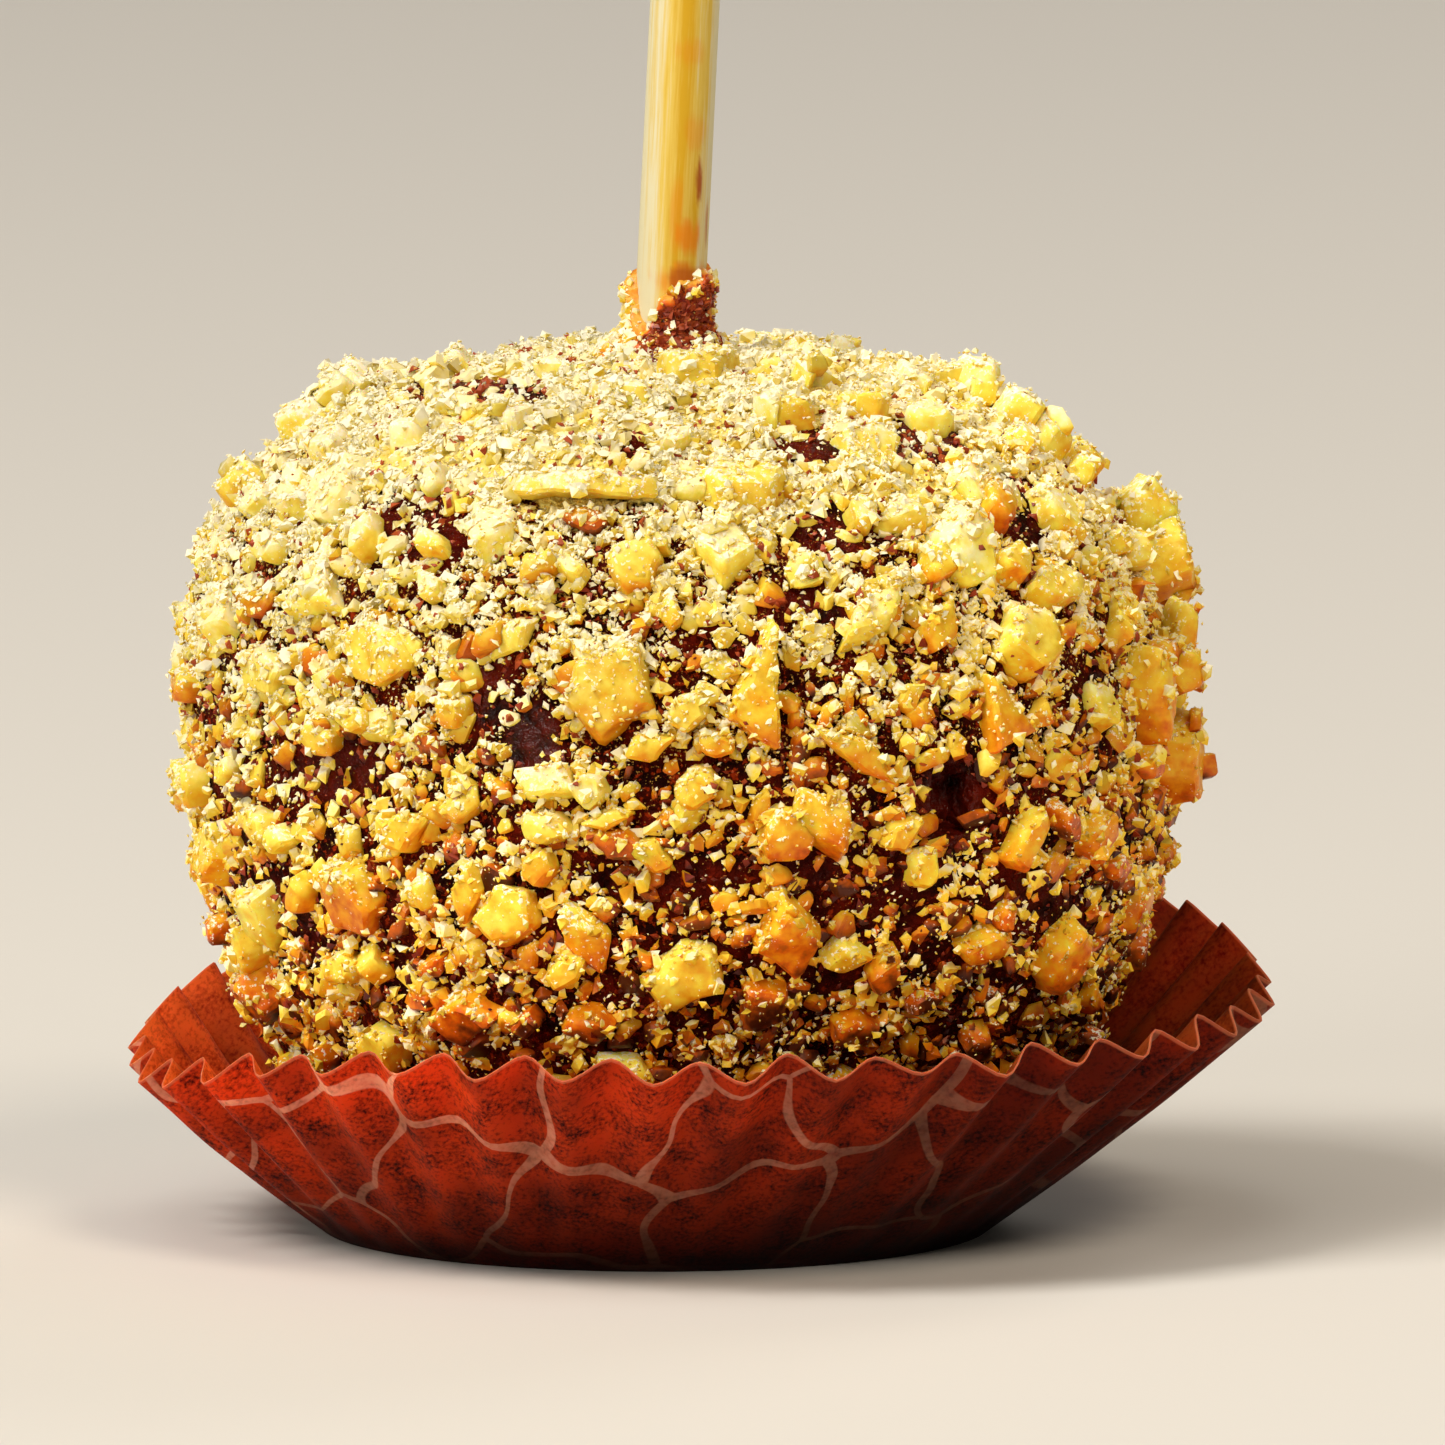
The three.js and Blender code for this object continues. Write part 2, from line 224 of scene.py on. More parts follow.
@dataclass
class MeshArrays:
    """The triangles of one or many closed pieces, with three marks at each vertex for the finish to read."""

    vertices: np.ndarray
    triangles: np.ndarray
    marks: np.ndarray

    @classmethod
    def of(cls, form: bmesh.types.BMesh, marks: Sequence[float] = (0, 0, 0)) -> MeshArrays:
        """Reads a bmesh into arrays and frees it.

        Args:
            form: The bmesh.
            marks: The marks of all its vertices.

        Returns:
            Its triangles as arrays.
        """
        bmesh.ops.triangulate(form, faces=form.faces[:])
        form.verts.index_update()
        vertices = np.array([v.co[:] for v in form.verts])
        triangles = np.array([[v.index for v in f.verts] for f in form.faces])
        form.free()
        return cls(vertices, triangles, np.tile(np.array(marks, float), (len(vertices), 1)))

    @classmethod
    def joined(cls, parts: Sequence[MeshArrays]) -> MeshArrays:
        """Joins several sets of arrays into one."""
        starts = np.cumsum([0] + [len(p.vertices) for p in parts[:-1]])
        return cls(
            np.vstack([p.vertices for p in parts]),
            np.vstack([p.triangles + start for p, start in zip(parts, starts)]),
            np.vstack([p.marks for p in parts]),
        )

    def placed(self, frames: np.ndarray, positions: np.ndarray, marks: np.ndarray) -> MeshArrays:
        """Copies this piece to many places.

        Args:
            frames: A 3 by 3 matrix for each copy, its turn and size.
            positions: Where each copy's origin goes.
            marks: The marks of each copy.

        Returns:
            All the copies, joined.
        """
        count, size = len(positions), len(self.vertices)
        vertices = np.einsum("kij,nj->kni", frames, self.vertices)
        triangles = self.triangles[None] + (np.arange(count) * size)[:, None, None]
        # Painted light and shade: each copy is paler and dustier towards the key lamp's side and deeper in colour away
        # from it.
        rise = vertices @ LIT_AND_DUSTED_SIDE / np.linalg.norm(frames[:, :, 0], axis=1)[:, None]
        marks = (marks[:, None, :] + rise[:, :, None] * PAINTED_LIGHT_AND_DUST_SHIFT).reshape(-1, 3)
        vertices += positions[:, None, :]
        return MeshArrays(vertices.reshape(-1, 3), triangles.reshape(-1, 3), marks)

    def faces(self) -> tuple[np.ndarray, np.ndarray, np.ndarray, np.ndarray]:
        """Returns each triangle's corners, its middle, twice its area and the way it faces."""
        corners = self.vertices[self.triangles]
        cross = np.cross(corners[:, 1] - corners[:, 0], corners[:, 2] - corners[:, 0])
        sizes = np.linalg.norm(cross, axis=1)
        return corners, corners.mean(axis=1), sizes, cross / np.maximum(sizes, TINY)[:, None]

    def move(self, place: Matrix) -> None:
        """Turns and shifts the vertices by a matrix."""
        frame = np.array(place)
        self.vertices = self.vertices @ frame[:3, :3].T + frame[:3, 3]

    def tree(self) -> BVHTree:
        """Returns the surface as a tree that rays can be cast at."""
        return BVHTree.FromPolygons(self.vertices.tolist(), self.triangles.tolist(), all_triangles=True)

    def piece(self, name: str, slot: Slot, material: bpy.types.Material, smooth_below: float = 0) -> bpy.types.Object:
        """Makes the arrays an object in metres that rides on the part.

        Args:
            name: The object's name.
            slot: Not used.
            material: Its material.
            smooth_below: Edges that bend less than this many degrees are shaded smooth.

        Returns:
            The object.
        """
        mesh = bpy.data.meshes.new(name)
        mesh.vertices.add(len(self.vertices))
        mesh.vertices.foreach_set("co", (self.vertices * MM).ravel())
        mesh.loops.add(self.triangles.size)
        mesh.loops.foreach_set("vertex_index", self.triangles.ravel().astype(np.int32))
        mesh.polygons.add(len(self.triangles))
        mesh.polygons.foreach_set("loop_start", np.arange(len(self.triangles), dtype=np.int32) * 3)
        mesh.update(calc_edges=True)
        mesh.attributes.new("marks", "FLOAT_VECTOR", "POINT").data.foreach_set("vector", self.marks.ravel())
        mesh.polygons.foreach_set("use_smooth", np.full(len(self.triangles), smooth_below > 0))
        if smooth_below > 0:
            mesh.set_sharp_from_angle(angle=math.radians(smooth_below))
        mesh.materials.append(material)
        return riding(bpy.data.objects.new(name, mesh), slot)


def riding(piece: bpy.types.Object, slot: Slot) -> bpy.types.Object:
    """Links a piece and lets it ride on the part."""
    bpy.context.scene.collection.objects.link(piece)
    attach(piece, "root")
    log.info("%s: %d faces", piece.name, len(piece.data.polygons))
    return piece


def spun(profile: Sequence[tuple[float, float]], steps: int) -> bmesh.types.BMesh:
    """Spins a profile round +Z into a surface whose faces point outwards.

    Args:
        profile: Radius and height of each point.
        steps: Facets round the axis.

    Returns:
        The closed surface.
    """
    form = bmesh.new()
    points = [form.verts.new((radius, 0, height)) for radius, height in profile]
    for start, end in zip(points, points[1:]):
        form.edges.new((start, end))
    bmesh.ops.spin(
        form,
        geom=form.verts[:] + form.edges[:],
        cent=(0, 0, 0),
        axis=(0, 0, 1),
        angle=math.tau,
        steps=steps,
        use_merge=True,
    )
    bmesh.ops.remove_doubles(form, verts=form.verts[:], dist=1e-4)
    bmesh.ops.recalc_face_normals(form, faces=form.faces[:])
    return form


def plate(form: bmesh.types.BMesh, lower: Sequence[Vector], upper: Sequence[Vector]) -> None:
    """Adds a closed plate to a bmesh.

    Args:
        form: The bmesh.
        lower: The corners of the plate's lower face, in order.
        upper: The corners of its upper face.
    """
    below, above = ([form.verts.new(corner) for corner in ring] for ring in (lower, upper))
    form.faces.new(below[::-1])
    form.faces.new(above)
    for i in range(len(below)):
        j = (i + 1) % len(below)
        form.faces.new((below[i], below[j], above[j], above[i]))
    bmesh.ops.recalc_face_normals(form, faces=form.faces[:])


def broken(
    form: bmesh.types.BMesh, worn: float, finest: float, chips: Sequence[tuple[float, float]], shift: Vector
) -> None:
    """Wears the edges of a piece and makes its faces uneven.

    Args:
        form: The piece.
        worn: Width of its worn edges.
        finest: Longest edge that is left on it.
        chips: Depth and size of each grade of unevenness.
        shift: Picks another unevenness.
    """
    bmesh.ops.bevel(
        form,
        geom=form.edges[:],
        offset=worn,
        segments=1,
        profile=0.5,
        affect="EDGES",
        material=-1,
    )
    for _ in range(4):
        bmesh.ops.triangulate(form, faces=form.faces[:])
        long_edges = [edge for edge in form.edges if edge.calc_length() > finest]
        if not long_edges:
            break
        bmesh.ops.subdivide_edges(form, edges=long_edges, cuts=1)
    for vertex in form.verts:
        at = vertex.co.copy()
        for depth, size in chips:
            vertex.co += depth * noise.noise_vector(at / size + shift)


# ---- the shape of the dipped apple ------------------------------------------------------------------


@dataclass(frozen=True)
class Swell:
    """One broad swell of the uneven body: depth, lobes round it, turns per millimetre and start."""

    depth: float
    lobes: int
    rise: float
    start: float


@dataclass(frozen=True)
class AppleForm:
    """The dipped body without its toffee: upright and flat-topped, on a small flat foot."""

    widest: float = 42.3
    waist: float = 41.0
    crown: float = 76.2
    shoulder: float = 2.7
    keel: float = -2.5
    foot: float = 5.1
    foot_radius: float = 18.0
    base: float = 0.7
    shift_x: float = 3.0
    lean: float = 2.2
    swells: tuple[Swell, ...] = (
        Swell(0.8, 2, 0.03, 0.7),
        Swell(0.6, 3, -0.07, 2.1),
        Swell(0.5, 5, 0.02, 4.0),
        Swell(0.4, 4, 0.12, 1.3),
    )

    def ring_at(self, latitude: float) -> tuple[float, float]:
        """Returns radius and height of the plain body at a latitude from -90 to 90 degrees."""
        upper = latitude >= 0
        power = 2 / self.shoulder if upper else 1.0
        reach = self.crown - self.waist if upper else self.waist - self.keel
        out = max(0.0, math.cos(math.radians(latitude)))
        rise = abs(math.sin(math.radians(latitude)))
        radius = 0.0 if latitude >= 90 else self.widest * out**power
        return radius, self.waist + math.copysign(reach * rise**power, latitude)

    def axis_x(self, height: float) -> float:
        """Returns how far right of the case's axis the body's axis stands at a height."""
        return self.shift_x - self.lean * ((height - self.waist) / (self.crown - self.waist)) ** 2

    def swell(self, angle: float, height: float) -> float:
        """Returns how far the body swells out at an angle round it and a height."""
        return sum(s.depth * math.sin(s.lobes * angle + s.rise * height + s.start) for s in self.swells)

    def uneven(self, point: Vector) -> Vector:
        """Turns a point of the plain round body into the point of the uneven, leaning one."""
        angle = math.atan2(point.y, point.x)
        grown = math.hypot(point.x, point.y) * (1 + self.swell(angle, point.z) / self.widest)
        return Vector((self.axis_x(point.z) + grown * math.cos(angle), grown * math.sin(angle), point.z))

    def point(self, latitude: float, angle: float) -> Vector:
        """Returns the coat's point at a latitude in degrees and an angle from +X in radians."""
        radius, height = self.ring_at(latitude)
        return self.uneven(Vector((radius * math.cos(angle), radius * math.sin(angle), height)))

    def spot(self, latitude: float, angle: float) -> Matrix:
        """Works out where the coat is and which way it faces.

        Args:
            latitude: Degrees above the waist.
            angle: Radians round from +X.

        Returns:
            A matrix whose columns run round the body, up it, out of it and to the point.
        """
        step = 0.5
        point = self.point(latitude, angle)
        round_ = (self.point(latitude, angle + math.radians(step)) - point).normalized()
        upward = (self.point(latitude + step, angle) - point).normalized()
        normal = round_.cross(upward).normalized()
        axes = Matrix((round_, normal.cross(round_), normal)).transposed().to_4x4()
        return Matrix.Translation(point) @ axes

    def front_spot(self, x: float, up: float) -> Matrix:
        """Finds the spot on the front that is seen at x and up from in front and a little above."""

        def angle_at(latitude: float) -> float:
            """Returns the angle at which the ring stands at x."""
            radius, height = self.ring_at(latitude)
            share = (x - self.axis_x(height)) / max(radius, 1e-6)
            return -math.acos(max(-1.0, min(1.0, share)))

        low, high = -60.0, 85.0
        for _ in range(30):
            middle = (low + high) / 2
            point = self.point(middle, angle_at(middle))
            if seen_up(point) < up:
                low = middle
            else:
                high = middle
        return self.spot(low, angle_at(low))

    def profile(self, rings: int) -> list[tuple[float, float]]:
        """Returns radius and height of each ring from the middle of the foot to the crown."""
        lowest = -math.degrees(math.asin((self.waist - self.foot) / (self.waist - self.keel)))
        foot = [(self.foot_radius * share, self.base) for share in (0, 0.25, 0.5, 0.75, 1)]
        foot.append((self.foot_radius + 3, self.base + 1.5))
        return foot + [self.ring_at(mix(lowest, 90, i / rings)) for i in range(rings + 1)]


def seen_up(point: Vector) -> float:
    """Returns how high a point stands in the plane that faces the viewer."""
    return point.z * math.cos(VIEW_DROP) + point.y * math.sin(VIEW_DROP)


# ---- finishes ---------------------------------------------------------------------------------------


@dataclass(frozen=True)
class ChoppedToffee:
    """Boiled sugar and butter toffee, cracked cold: waxy and slightly clear, pale where it is thin or dusty.

    Mark 1 is how dark the piece is, from its boil and from painted shade, mark 2 how much sugar dust lies on it and
    mark 3 its brightness, with painted light in it.
    """

    name: str = "Boiled butter toffee, chopped"
    boil: tuple[tuple[float, str], ...] = (
        (0.0, "#F0E2A8"),
        (0.2, "#E8D252"),
        (0.4, "#DCB42C"),
        (0.58, "#D68A0E"),
        (0.76, "#BE5608"),
        (0.9, "#7C380C"),
        (1.0, "#451B08"),
    )
    dust: str = "#F3EAD2"
    mottle_mm: float = 1.2
    speck_mm: float = 0.4
    roughness: float = 0.36
    ior: float = 1.49
    specular: float = 0.22
    clear: float = 0.45
    depth_mm: float = 1.6
    # Painted light: how much deeper in colour and how much brighter the underside is painted, as if light had passed
    # through.
    painted_under_deepening: float = 0.14  # how much deeper in colour the underside is
    painted_through_glow: float = 1.3  # how much brighter it is for the light that has passed through

    def material(self) -> bpy.types.Material:
        """Returns the material."""
        material, add = new_material(self.name)
        place = add("TexCoord").outputs["Object"]
        darkness, dustiness, brightness = read_marks(add)
        mottle = add("TexNoise", {"Vector": place, "Scale": 1 / (self.mottle_mm * MM), "Detail": 3.0})
        shift = add("MapRange", (mottle, 0.3, 0.7, -0.12, 0.12))
        boil_and_painted_shade = add("Math", (darkness, shift), operation="ADD")
        # Painted light: the underside is painted deeper in colour and brighter, as if light had passed through the
        # piece.
        facing_up = add("SeparateXYZ", (add("NewGeometry").outputs["Normal"],)).outputs[2]
        under = add("MapRange", (facing_up, -0.7, 0.7, self.painted_under_deepening, -0.08))
        passing = add("MapRange", (facing_up, -0.8, 0.3, self.painted_through_glow, 1.0))
        value = add("Math", (brightness, passing), operation="MULTIPLY")
        passed = add("Math", (boil_and_painted_shade, under), operation="ADD")
        colour = add("ValToRGB", (passed,), stops=self.boil)
        # Sugar dust clings in specks, most of all on what faces up.
        upward = add("MapRange", (facing_up, -0.6, 0.9, 0.35, 1.0))
        cover = add("Math", (dustiness, upward), operation="MULTIPLY")
        specks = add("TexNoise", {"Vector": place, "Scale": 1 / (self.speck_mm * MM), "Detail": 2.0, "Roughness": 0.6})
        gate = add("MapRange", (cover, 0.0, 1.0, 0.72, 0.38))
        over = add("Math", (specks, gate), operation="SUBTRACT")
        dusty = add("MapRange", (over, -0.01, 0.07, 0.0, 0.9))
        dusted = add("Mix", {0: dusty, 6: colour, 7: linear(self.dust)}, data_type="RGBA")
        shaded = add("HueSaturation", {"Color": dusted.outputs[2], "Value": value})
        bump = add("Bump", {"Height": specks, "Strength": 0.25, "Distance": 0.12 * MM})
        matte = add("MapRange", (dusty, 0.0, 0.9, self.roughness, 0.8))
        shader = add(
            "BsdfPrincipled",
            {
                "Base Color": shaded,
                "Roughness": matte,
                "IOR": self.ior,
                "Specular IOR Level": self.specular,
                "Subsurface Weight": self.clear,
                "Subsurface Radius": (1.0, 0.45, 0.1),
                "Subsurface Scale": self.depth_mm * MM,
                "Normal": bump,
            },
        )
        add("OutputMaterial", (shader,))
        return material


@dataclass(frozen=True)
class DarkChocolate:
    """Dark chocolate, hand dipped: glossy where it is bare, else rough with chips, toffee powder and sugar in it.

    Mark 1 is how bare it is, mark 2 how much fine powder is pressed into it and mark 3 how much sugar covers it.
    """

    name: str = "Dark chocolate, dipped"
    deep: str = "#1C0301"
    thin: str = "#5E1002"
    chipped: str = "#9A2E08"
    powder: str = "#D9A850"
    sugar_low: str = "#EAB61E"
    sugar_high: str = "#F3E07C"
    smear_mm: float = 3.0
    chip_mm: float = 0.7
    grain_mm: float = 0.36
    sugar_mm: float = 1.5
    roughness: float = 0.6
    ior: float = 1.46
    specular: float = 0.04
    gloss: float = 0.32
    gloss_roughness: float = 0.08

    def material(self) -> bpy.types.Material:
        """Returns the material."""
        material, add = new_material(self.name)
        place = add("TexCoord").outputs["Object"]
        smear, chip, grain, heaps = (
            add("TexNoise", {"Vector": place, "Scale": 1 / (size * MM), "Detail": 3.0, "Roughness": 0.6})
            for size in (self.smear_mm, self.chip_mm, self.grain_mm, self.sugar_mm)
        )
        bare, powdered, sugared = read_marks(add)
        thinned = add("Math", (bare, 0.1, smear), operation="MULTIPLY_ADD")
        dark = add("ValToRGB", (thinned,), stops=((0.4, self.deep), (0.72, self.thin)))
        # Chips and powder thin out on the bare patches.
        broken = add("Math", (bare, -0.12, chip), operation="MULTIPLY_ADD")
        chips = add("MapRange", (broken, 0.56, 0.63, 0.0, 0.8))
        gate = add("MapRange", (powdered, 0.0, 1.0, 0.8, 0.52))
        over = add("Math", (grain, gate), operation="SUBTRACT")
        powder = add("MapRange", (over, 0.0, 0.07, 0.0, 0.9))
        height = add("SeparateXYZ", (place,)).outputs[2]
        paler = add("MapRange", (height, 15 * MM, 68 * MM, -0.25, 0.12))
        tone = add("Math", (chip, paler), operation="ADD")
        sugar = add("ValToRGB", (tone,), stops=((0.35, self.sugar_low), (0.62, self.sugar_high)))
        heaped = add("Math", (heaps, sugared), operation="ADD")
        cover = add("MapRange", (heaped, 0.98, 1.1, 0.0, 1.0))
        colour = dark.outputs[0]
        for share, over in ((chips, linear(self.chipped)), (powder, linear(self.powder)), (cover, sugar)):
            colour = add("Mix", {0: share, 6: colour, 7: over}, data_type="RGBA").outputs[2]
        gloss = add("MapRange", (bare, 0.5, 0.85, 0.0, self.gloss))
        crumbled = add("Math", (chip, 1.5, grain), operation="MULTIPLY_ADD")
        rippled = add("Math", (heaps, 5.0, crumbled), operation="MULTIPLY_ADD")
        relief = add("Math", (smear, 5.0, rippled), operation="MULTIPLY_ADD")
        strength = add("MapRange", (bare, 0.45, 0.95, 0.8, 0.6))
        bump = add("Bump", {"Height": relief, "Strength": strength, "Distance": 0.4 * MM})
        shader = add(
            "BsdfPrincipled",
            {
                "Base Color": colour,
                "Roughness": self.roughness,
                "IOR": self.ior,
                "Specular IOR Level": self.specular,
                "Coat Weight": gloss,
                "Coat Roughness": self.gloss_roughness,
                "Normal": bump,
                "Coat Normal": bump,
            },
        )
        add("OutputMaterial", (shader,))
        return material


@dataclass(frozen=True)
class SoftCaramel:
    """Cream caramel, run down the stick and set: amber and clear, with dark chocolate smeared in. Mark 1 is dark."""

    name: str = "Soft caramel, set"
    amber: str = "#E3A03A"
    smeared: str = "#DA5E0C"
    dark: str = "#701404"
    ripple_mm: float = 1.2
    roughness: float = 0.32
    ior: float = 1.48

    def material(self) -> bpy.types.Material:
        """Returns the material."""
        material, add = new_material(self.name)
        place = add("TexCoord").outputs["Object"]
        darkness = read_marks(add)[0]
        ripple = add("TexNoise", {"Vector": place, "Scale": 1 / (self.ripple_mm * MM), "Detail": 3.0})
        swirl = add("MapRange", (ripple, 0.3, 0.7, -0.3, 0.3))
        smear = add("Math", (darkness, swirl), operation="ADD")
        colour = add("ValToRGB", (smear,), stops=((0.05, self.amber), (0.5, self.smeared), (0.95, self.dark)))
        bump = add("Bump", {"Height": ripple, "Strength": 0.5, "Distance": 0.3 * MM})
        shader = add(
            "BsdfPrincipled",
            {
                "Base Color": colour,
                "Roughness": self.roughness,
                "IOR": self.ior,
                "Specular IOR Level": 0.3,
                "Subsurface Weight": 0.4,
                "Subsurface Radius": (1.0, 0.4, 0.12),
                "Subsurface Scale": 1.5 * MM,
                "Normal": bump,
            },
        )
        add("OutputMaterial", (shader,))
        return material


@dataclass(frozen=True)
class TurnedBirch:
    """Birch dowel, turned and left bare: pale straw with ochre streaks along it and caramel soaked in low down.

    Mark 1 is how much caramel has soaked in, mark 2 how red the stain is and mark 3 how ochre the wood is.
    """

    name: str = "Birch dowel, turned"
    pale: str = "#D4CBA6"
    straw: str = "#D4B654"
    ochre: str = "#C89C20"
    stain: str = "#D67A0C"
    red: str = "#8E2408"
    grain_mm: float = 0.5
    streak_mm: float = 2.2
    grain_stretch: float = 26.0
    roughness: float = 0.6

    def material(self, tilt: float) -> bpy.types.Material:
        """Makes the material.

        Args:
            tilt: The stick's lean from upright, in radians.

        Returns:
            The material.
        """
        material, add = new_material(self.name)
        place = add("TexCoord").outputs["Object"]
        along = add("Mapping", {"Vector": place, "Rotation": (0.0, -tilt, 0.0)})
        drawn = add("Mapping", {"Vector": along, "Scale": (1.0, 1.0, 1 / self.grain_stretch)})
        grain = add("TexNoise", {"Vector": drawn, "Scale": 1 / (self.grain_mm * MM), "Detail": 5.0, "Roughness": 0.65})
        broad = add("TexNoise", {"Vector": drawn, "Scale": 1 / (self.streak_mm * MM), "Detail": 2.0})
        both = add("Math", (grain, broad), operation="ADD")
        soaking, redness, ochre_front = read_marks(add)
        paler = add("MapRange", (ochre_front, 0.0, 1.0, 0.15, -0.12))
        tone = add("Math", (both, 0.5, paler), operation="MULTIPLY_ADD")
        colour = add("ValToRGB", (tone,), stops=((0.36, self.ochre), (0.49, self.straw), (0.61, self.pale)))
        stained = colour.outputs[0]
        for share, stain in ((soaking, self.stain), (redness, self.red)):
            stained = add("Mix", {0: share, 6: stained, 7: linear(stain)}, data_type="RGBA").outputs[2]
        bump = add("Bump", {"Height": grain, "Strength": 0.25, "Distance": 0.1 * MM})
        shader = add(
            "BsdfPrincipled",
            {
                "Base Color": stained,
                "Roughness": self.roughness,
                "IOR": 1.5,
                "Specular IOR Level": 0.15,
                "Normal": bump,
            },
        )
        add("OutputMaterial", (shader,))
        return material


@dataclass(frozen=True)
class GlassinePaper:
    """Glassine, pressed into flutes: thin, mottled with fibres and a little clear, printed on its outer side.

    The piece's own UV map is the flat sheet, in millimetres.
    """

    name: str
    deep: str
    light: str
    edge: str
    print_line: str = ""
    rim_mm: float = 56.8  # where the worn edge starts on the flat sheet
    cell_mm: float = 14.0
    line_mm: float = 0.66
    wander_mm: float = 11.0  # the print's lines wander over this length
    wander_reach: float = 9.0  # and by up to half of this
    mottle_mm: float = 3.2
    fibre_mm: float = 0.4
    stain_mm: float = 9.0
    roughness: float = 0.6
    ior: float = 1.47

    def material(self) -> bpy.types.Material:
        """Returns the material."""
        material, add = new_material(self.name)
        flat = add("TexCoord").outputs["UV"]
        mottle = add("TexNoise", {"Vector": flat, "Scale": 1 / self.mottle_mm, "Detail": 5.0, "Roughness": 0.62})
        fibre = add("TexNoise", {"Vector": flat, "Scale": 1 / self.fibre_mm, "Detail": 2.0, "Roughness": 0.6})
        blend = add("Math", (fibre, 0.8, mottle), operation="MULTIPLY_ADD")
        colour = add("ValToRGB", (blend,), stops=((0.64, self.deep), (1.12, self.light)))
        surface = self.printed(add, flat, colour) if self.print_line else colour
        # The sheet is painted darker towards its base and towards its right side, which is painted shade, and it is
        # worn pale along its rim.
        out = add("VectorMath", (flat,), operation="LENGTH").outputs["Value"]
        low = add("MapRange", (out, 31.0, 56.0, 0.05, 1.04))
        across = add("SeparateXYZ", (flat,)).outputs["X"]
        side = add("MapRange", (across, -28.0, 31.0, 1.14, 0.3))
        painted_shade = add("Math", (low, side), operation="MULTIPLY")
        stains = add("TexNoise", {"Vector": flat, "Scale": 1 / self.stain_mm, "Detail": 2.0})
        stained = add("MapRange", (stains, 0.35, 0.6, 0.55, 1.1))
        value = add("Math", (painted_shade, stained), operation="MULTIPLY")
        shaded = add("HueSaturation", {"Color": surface, "Value": value})
        worn = add("MapRange", (out, self.rim_mm, self.rim_mm + 0.15, 0.0, 0.55))
        edged = add("Mix", {0: worn, 6: shaded, 7: linear(self.edge)}, data_type="RGBA")
        bump = add("Bump", {"Height": blend, "Strength": 0.2, "Distance": 0.08 * MM})
        shader = add(
            "BsdfPrincipled",
            {
                "Base Color": edged.outputs[2],
                "Roughness": self.roughness,
                "IOR": self.ior,
                "Specular IOR Level": 0.06,
                "Subsurface Weight": 0.9,
                "Subsurface Radius": (1.0, 0.3, 0.12),
                "Subsurface Scale": 0.5 * MM,
                "Normal": bump,
            },
        )
        add("OutputMaterial", (shader,))
        return material

    def printed(self, add: NodeAdder, flat: bpy.types.NodeSocket, paper: bpy.types.Node) -> bpy.types.NodeSocket:
        """Adds the crackle print: a net of pale lines round rounded cells, thicker where they meet.

        Args:
            add: Adds a node to the material.
            flat: The place on the flat sheet, in millimetres.
            paper: The node that gives the bare paper's colour.

        Returns:
            The colour with its print.
        """
        wander = add("TexNoise", {"Vector": flat, "Scale": 1 / self.wander_mm, "Detail": 1.0})
        centred = add("VectorMath", (wander.outputs["Color"], (0.5, 0.5, 0.5)), operation="SUBTRACT")
        reach = (self.wander_reach, self.wander_reach, 0.0)
        bent = add("VectorMath", (centred, reach, flat), operation="MULTIPLY_ADD")
        cells = {"Vector": bent, "Scale": 1 / self.cell_mm, "Randomness": 0.8}
        edge = add("TexVoronoi", cells, voronoi_dimensions="2D", feature="DISTANCE_TO_EDGE")
        core = add("TexVoronoi", cells, voronoi_dimensions="2D", feature="F1")
        # Far from a cell's core its corners fill in, which rounds it.
        fill = add("MapRange", (core, 0.56, 0.85, 0.0, 0.025))
        away = add("Math", (edge, fill), operation="SUBTRACT")
        half_line = self.line_mm / 2 / self.cell_mm
        line = add("MapRange", (away, half_line * 0.85, half_line * 1.2, 0.85, 0.0))
        worn = add("TexNoise", {"Vector": flat, "Scale": 1 / (2 * self.fibre_mm), "Detail": 2.0})
        thin = add("MapRange", (worn, 0.3, 0.6, 0.55, 1.0))
        ink = add("Math", (line, thin), operation="MULTIPLY")
        inked = add("Mix", {0: ink, 6: paper, 7: linear(self.print_line)}, data_type="RGBA")
        return inked.outputs[2]


@dataclass(frozen=True)
class PaleFloor:
    """Painted board: plain, pale and matt."""

    name: str = "Board, painted matt"
    colour: str = "#D9D5CE"
    roughness: float = 0.7

    def material(self) -> bpy.types.Material:
        """Returns the material."""
        material, add = new_material(self.name)
        shader = add("BsdfPrincipled", {"Base Color": linear(self.colour), "Roughness": self.roughness})
        add("OutputMaterial", (shader,))
        return material


# ---- toffee -----------------------------------------------------------------------------------------


@dataclass(frozen=True)
class ShardForm:
    """A large flat shard: where its middle is seen on the front, its size, how it lies and its look."""

    x: float
    up: float
    long: float
    short: float
    thick: float
    turn: float
    lean: float
    proud: float
    corners: int
    boil: float = 0.3
    dust: float = 0.5
    swing: float = 0.0  # degrees that it is swung about the way up the body


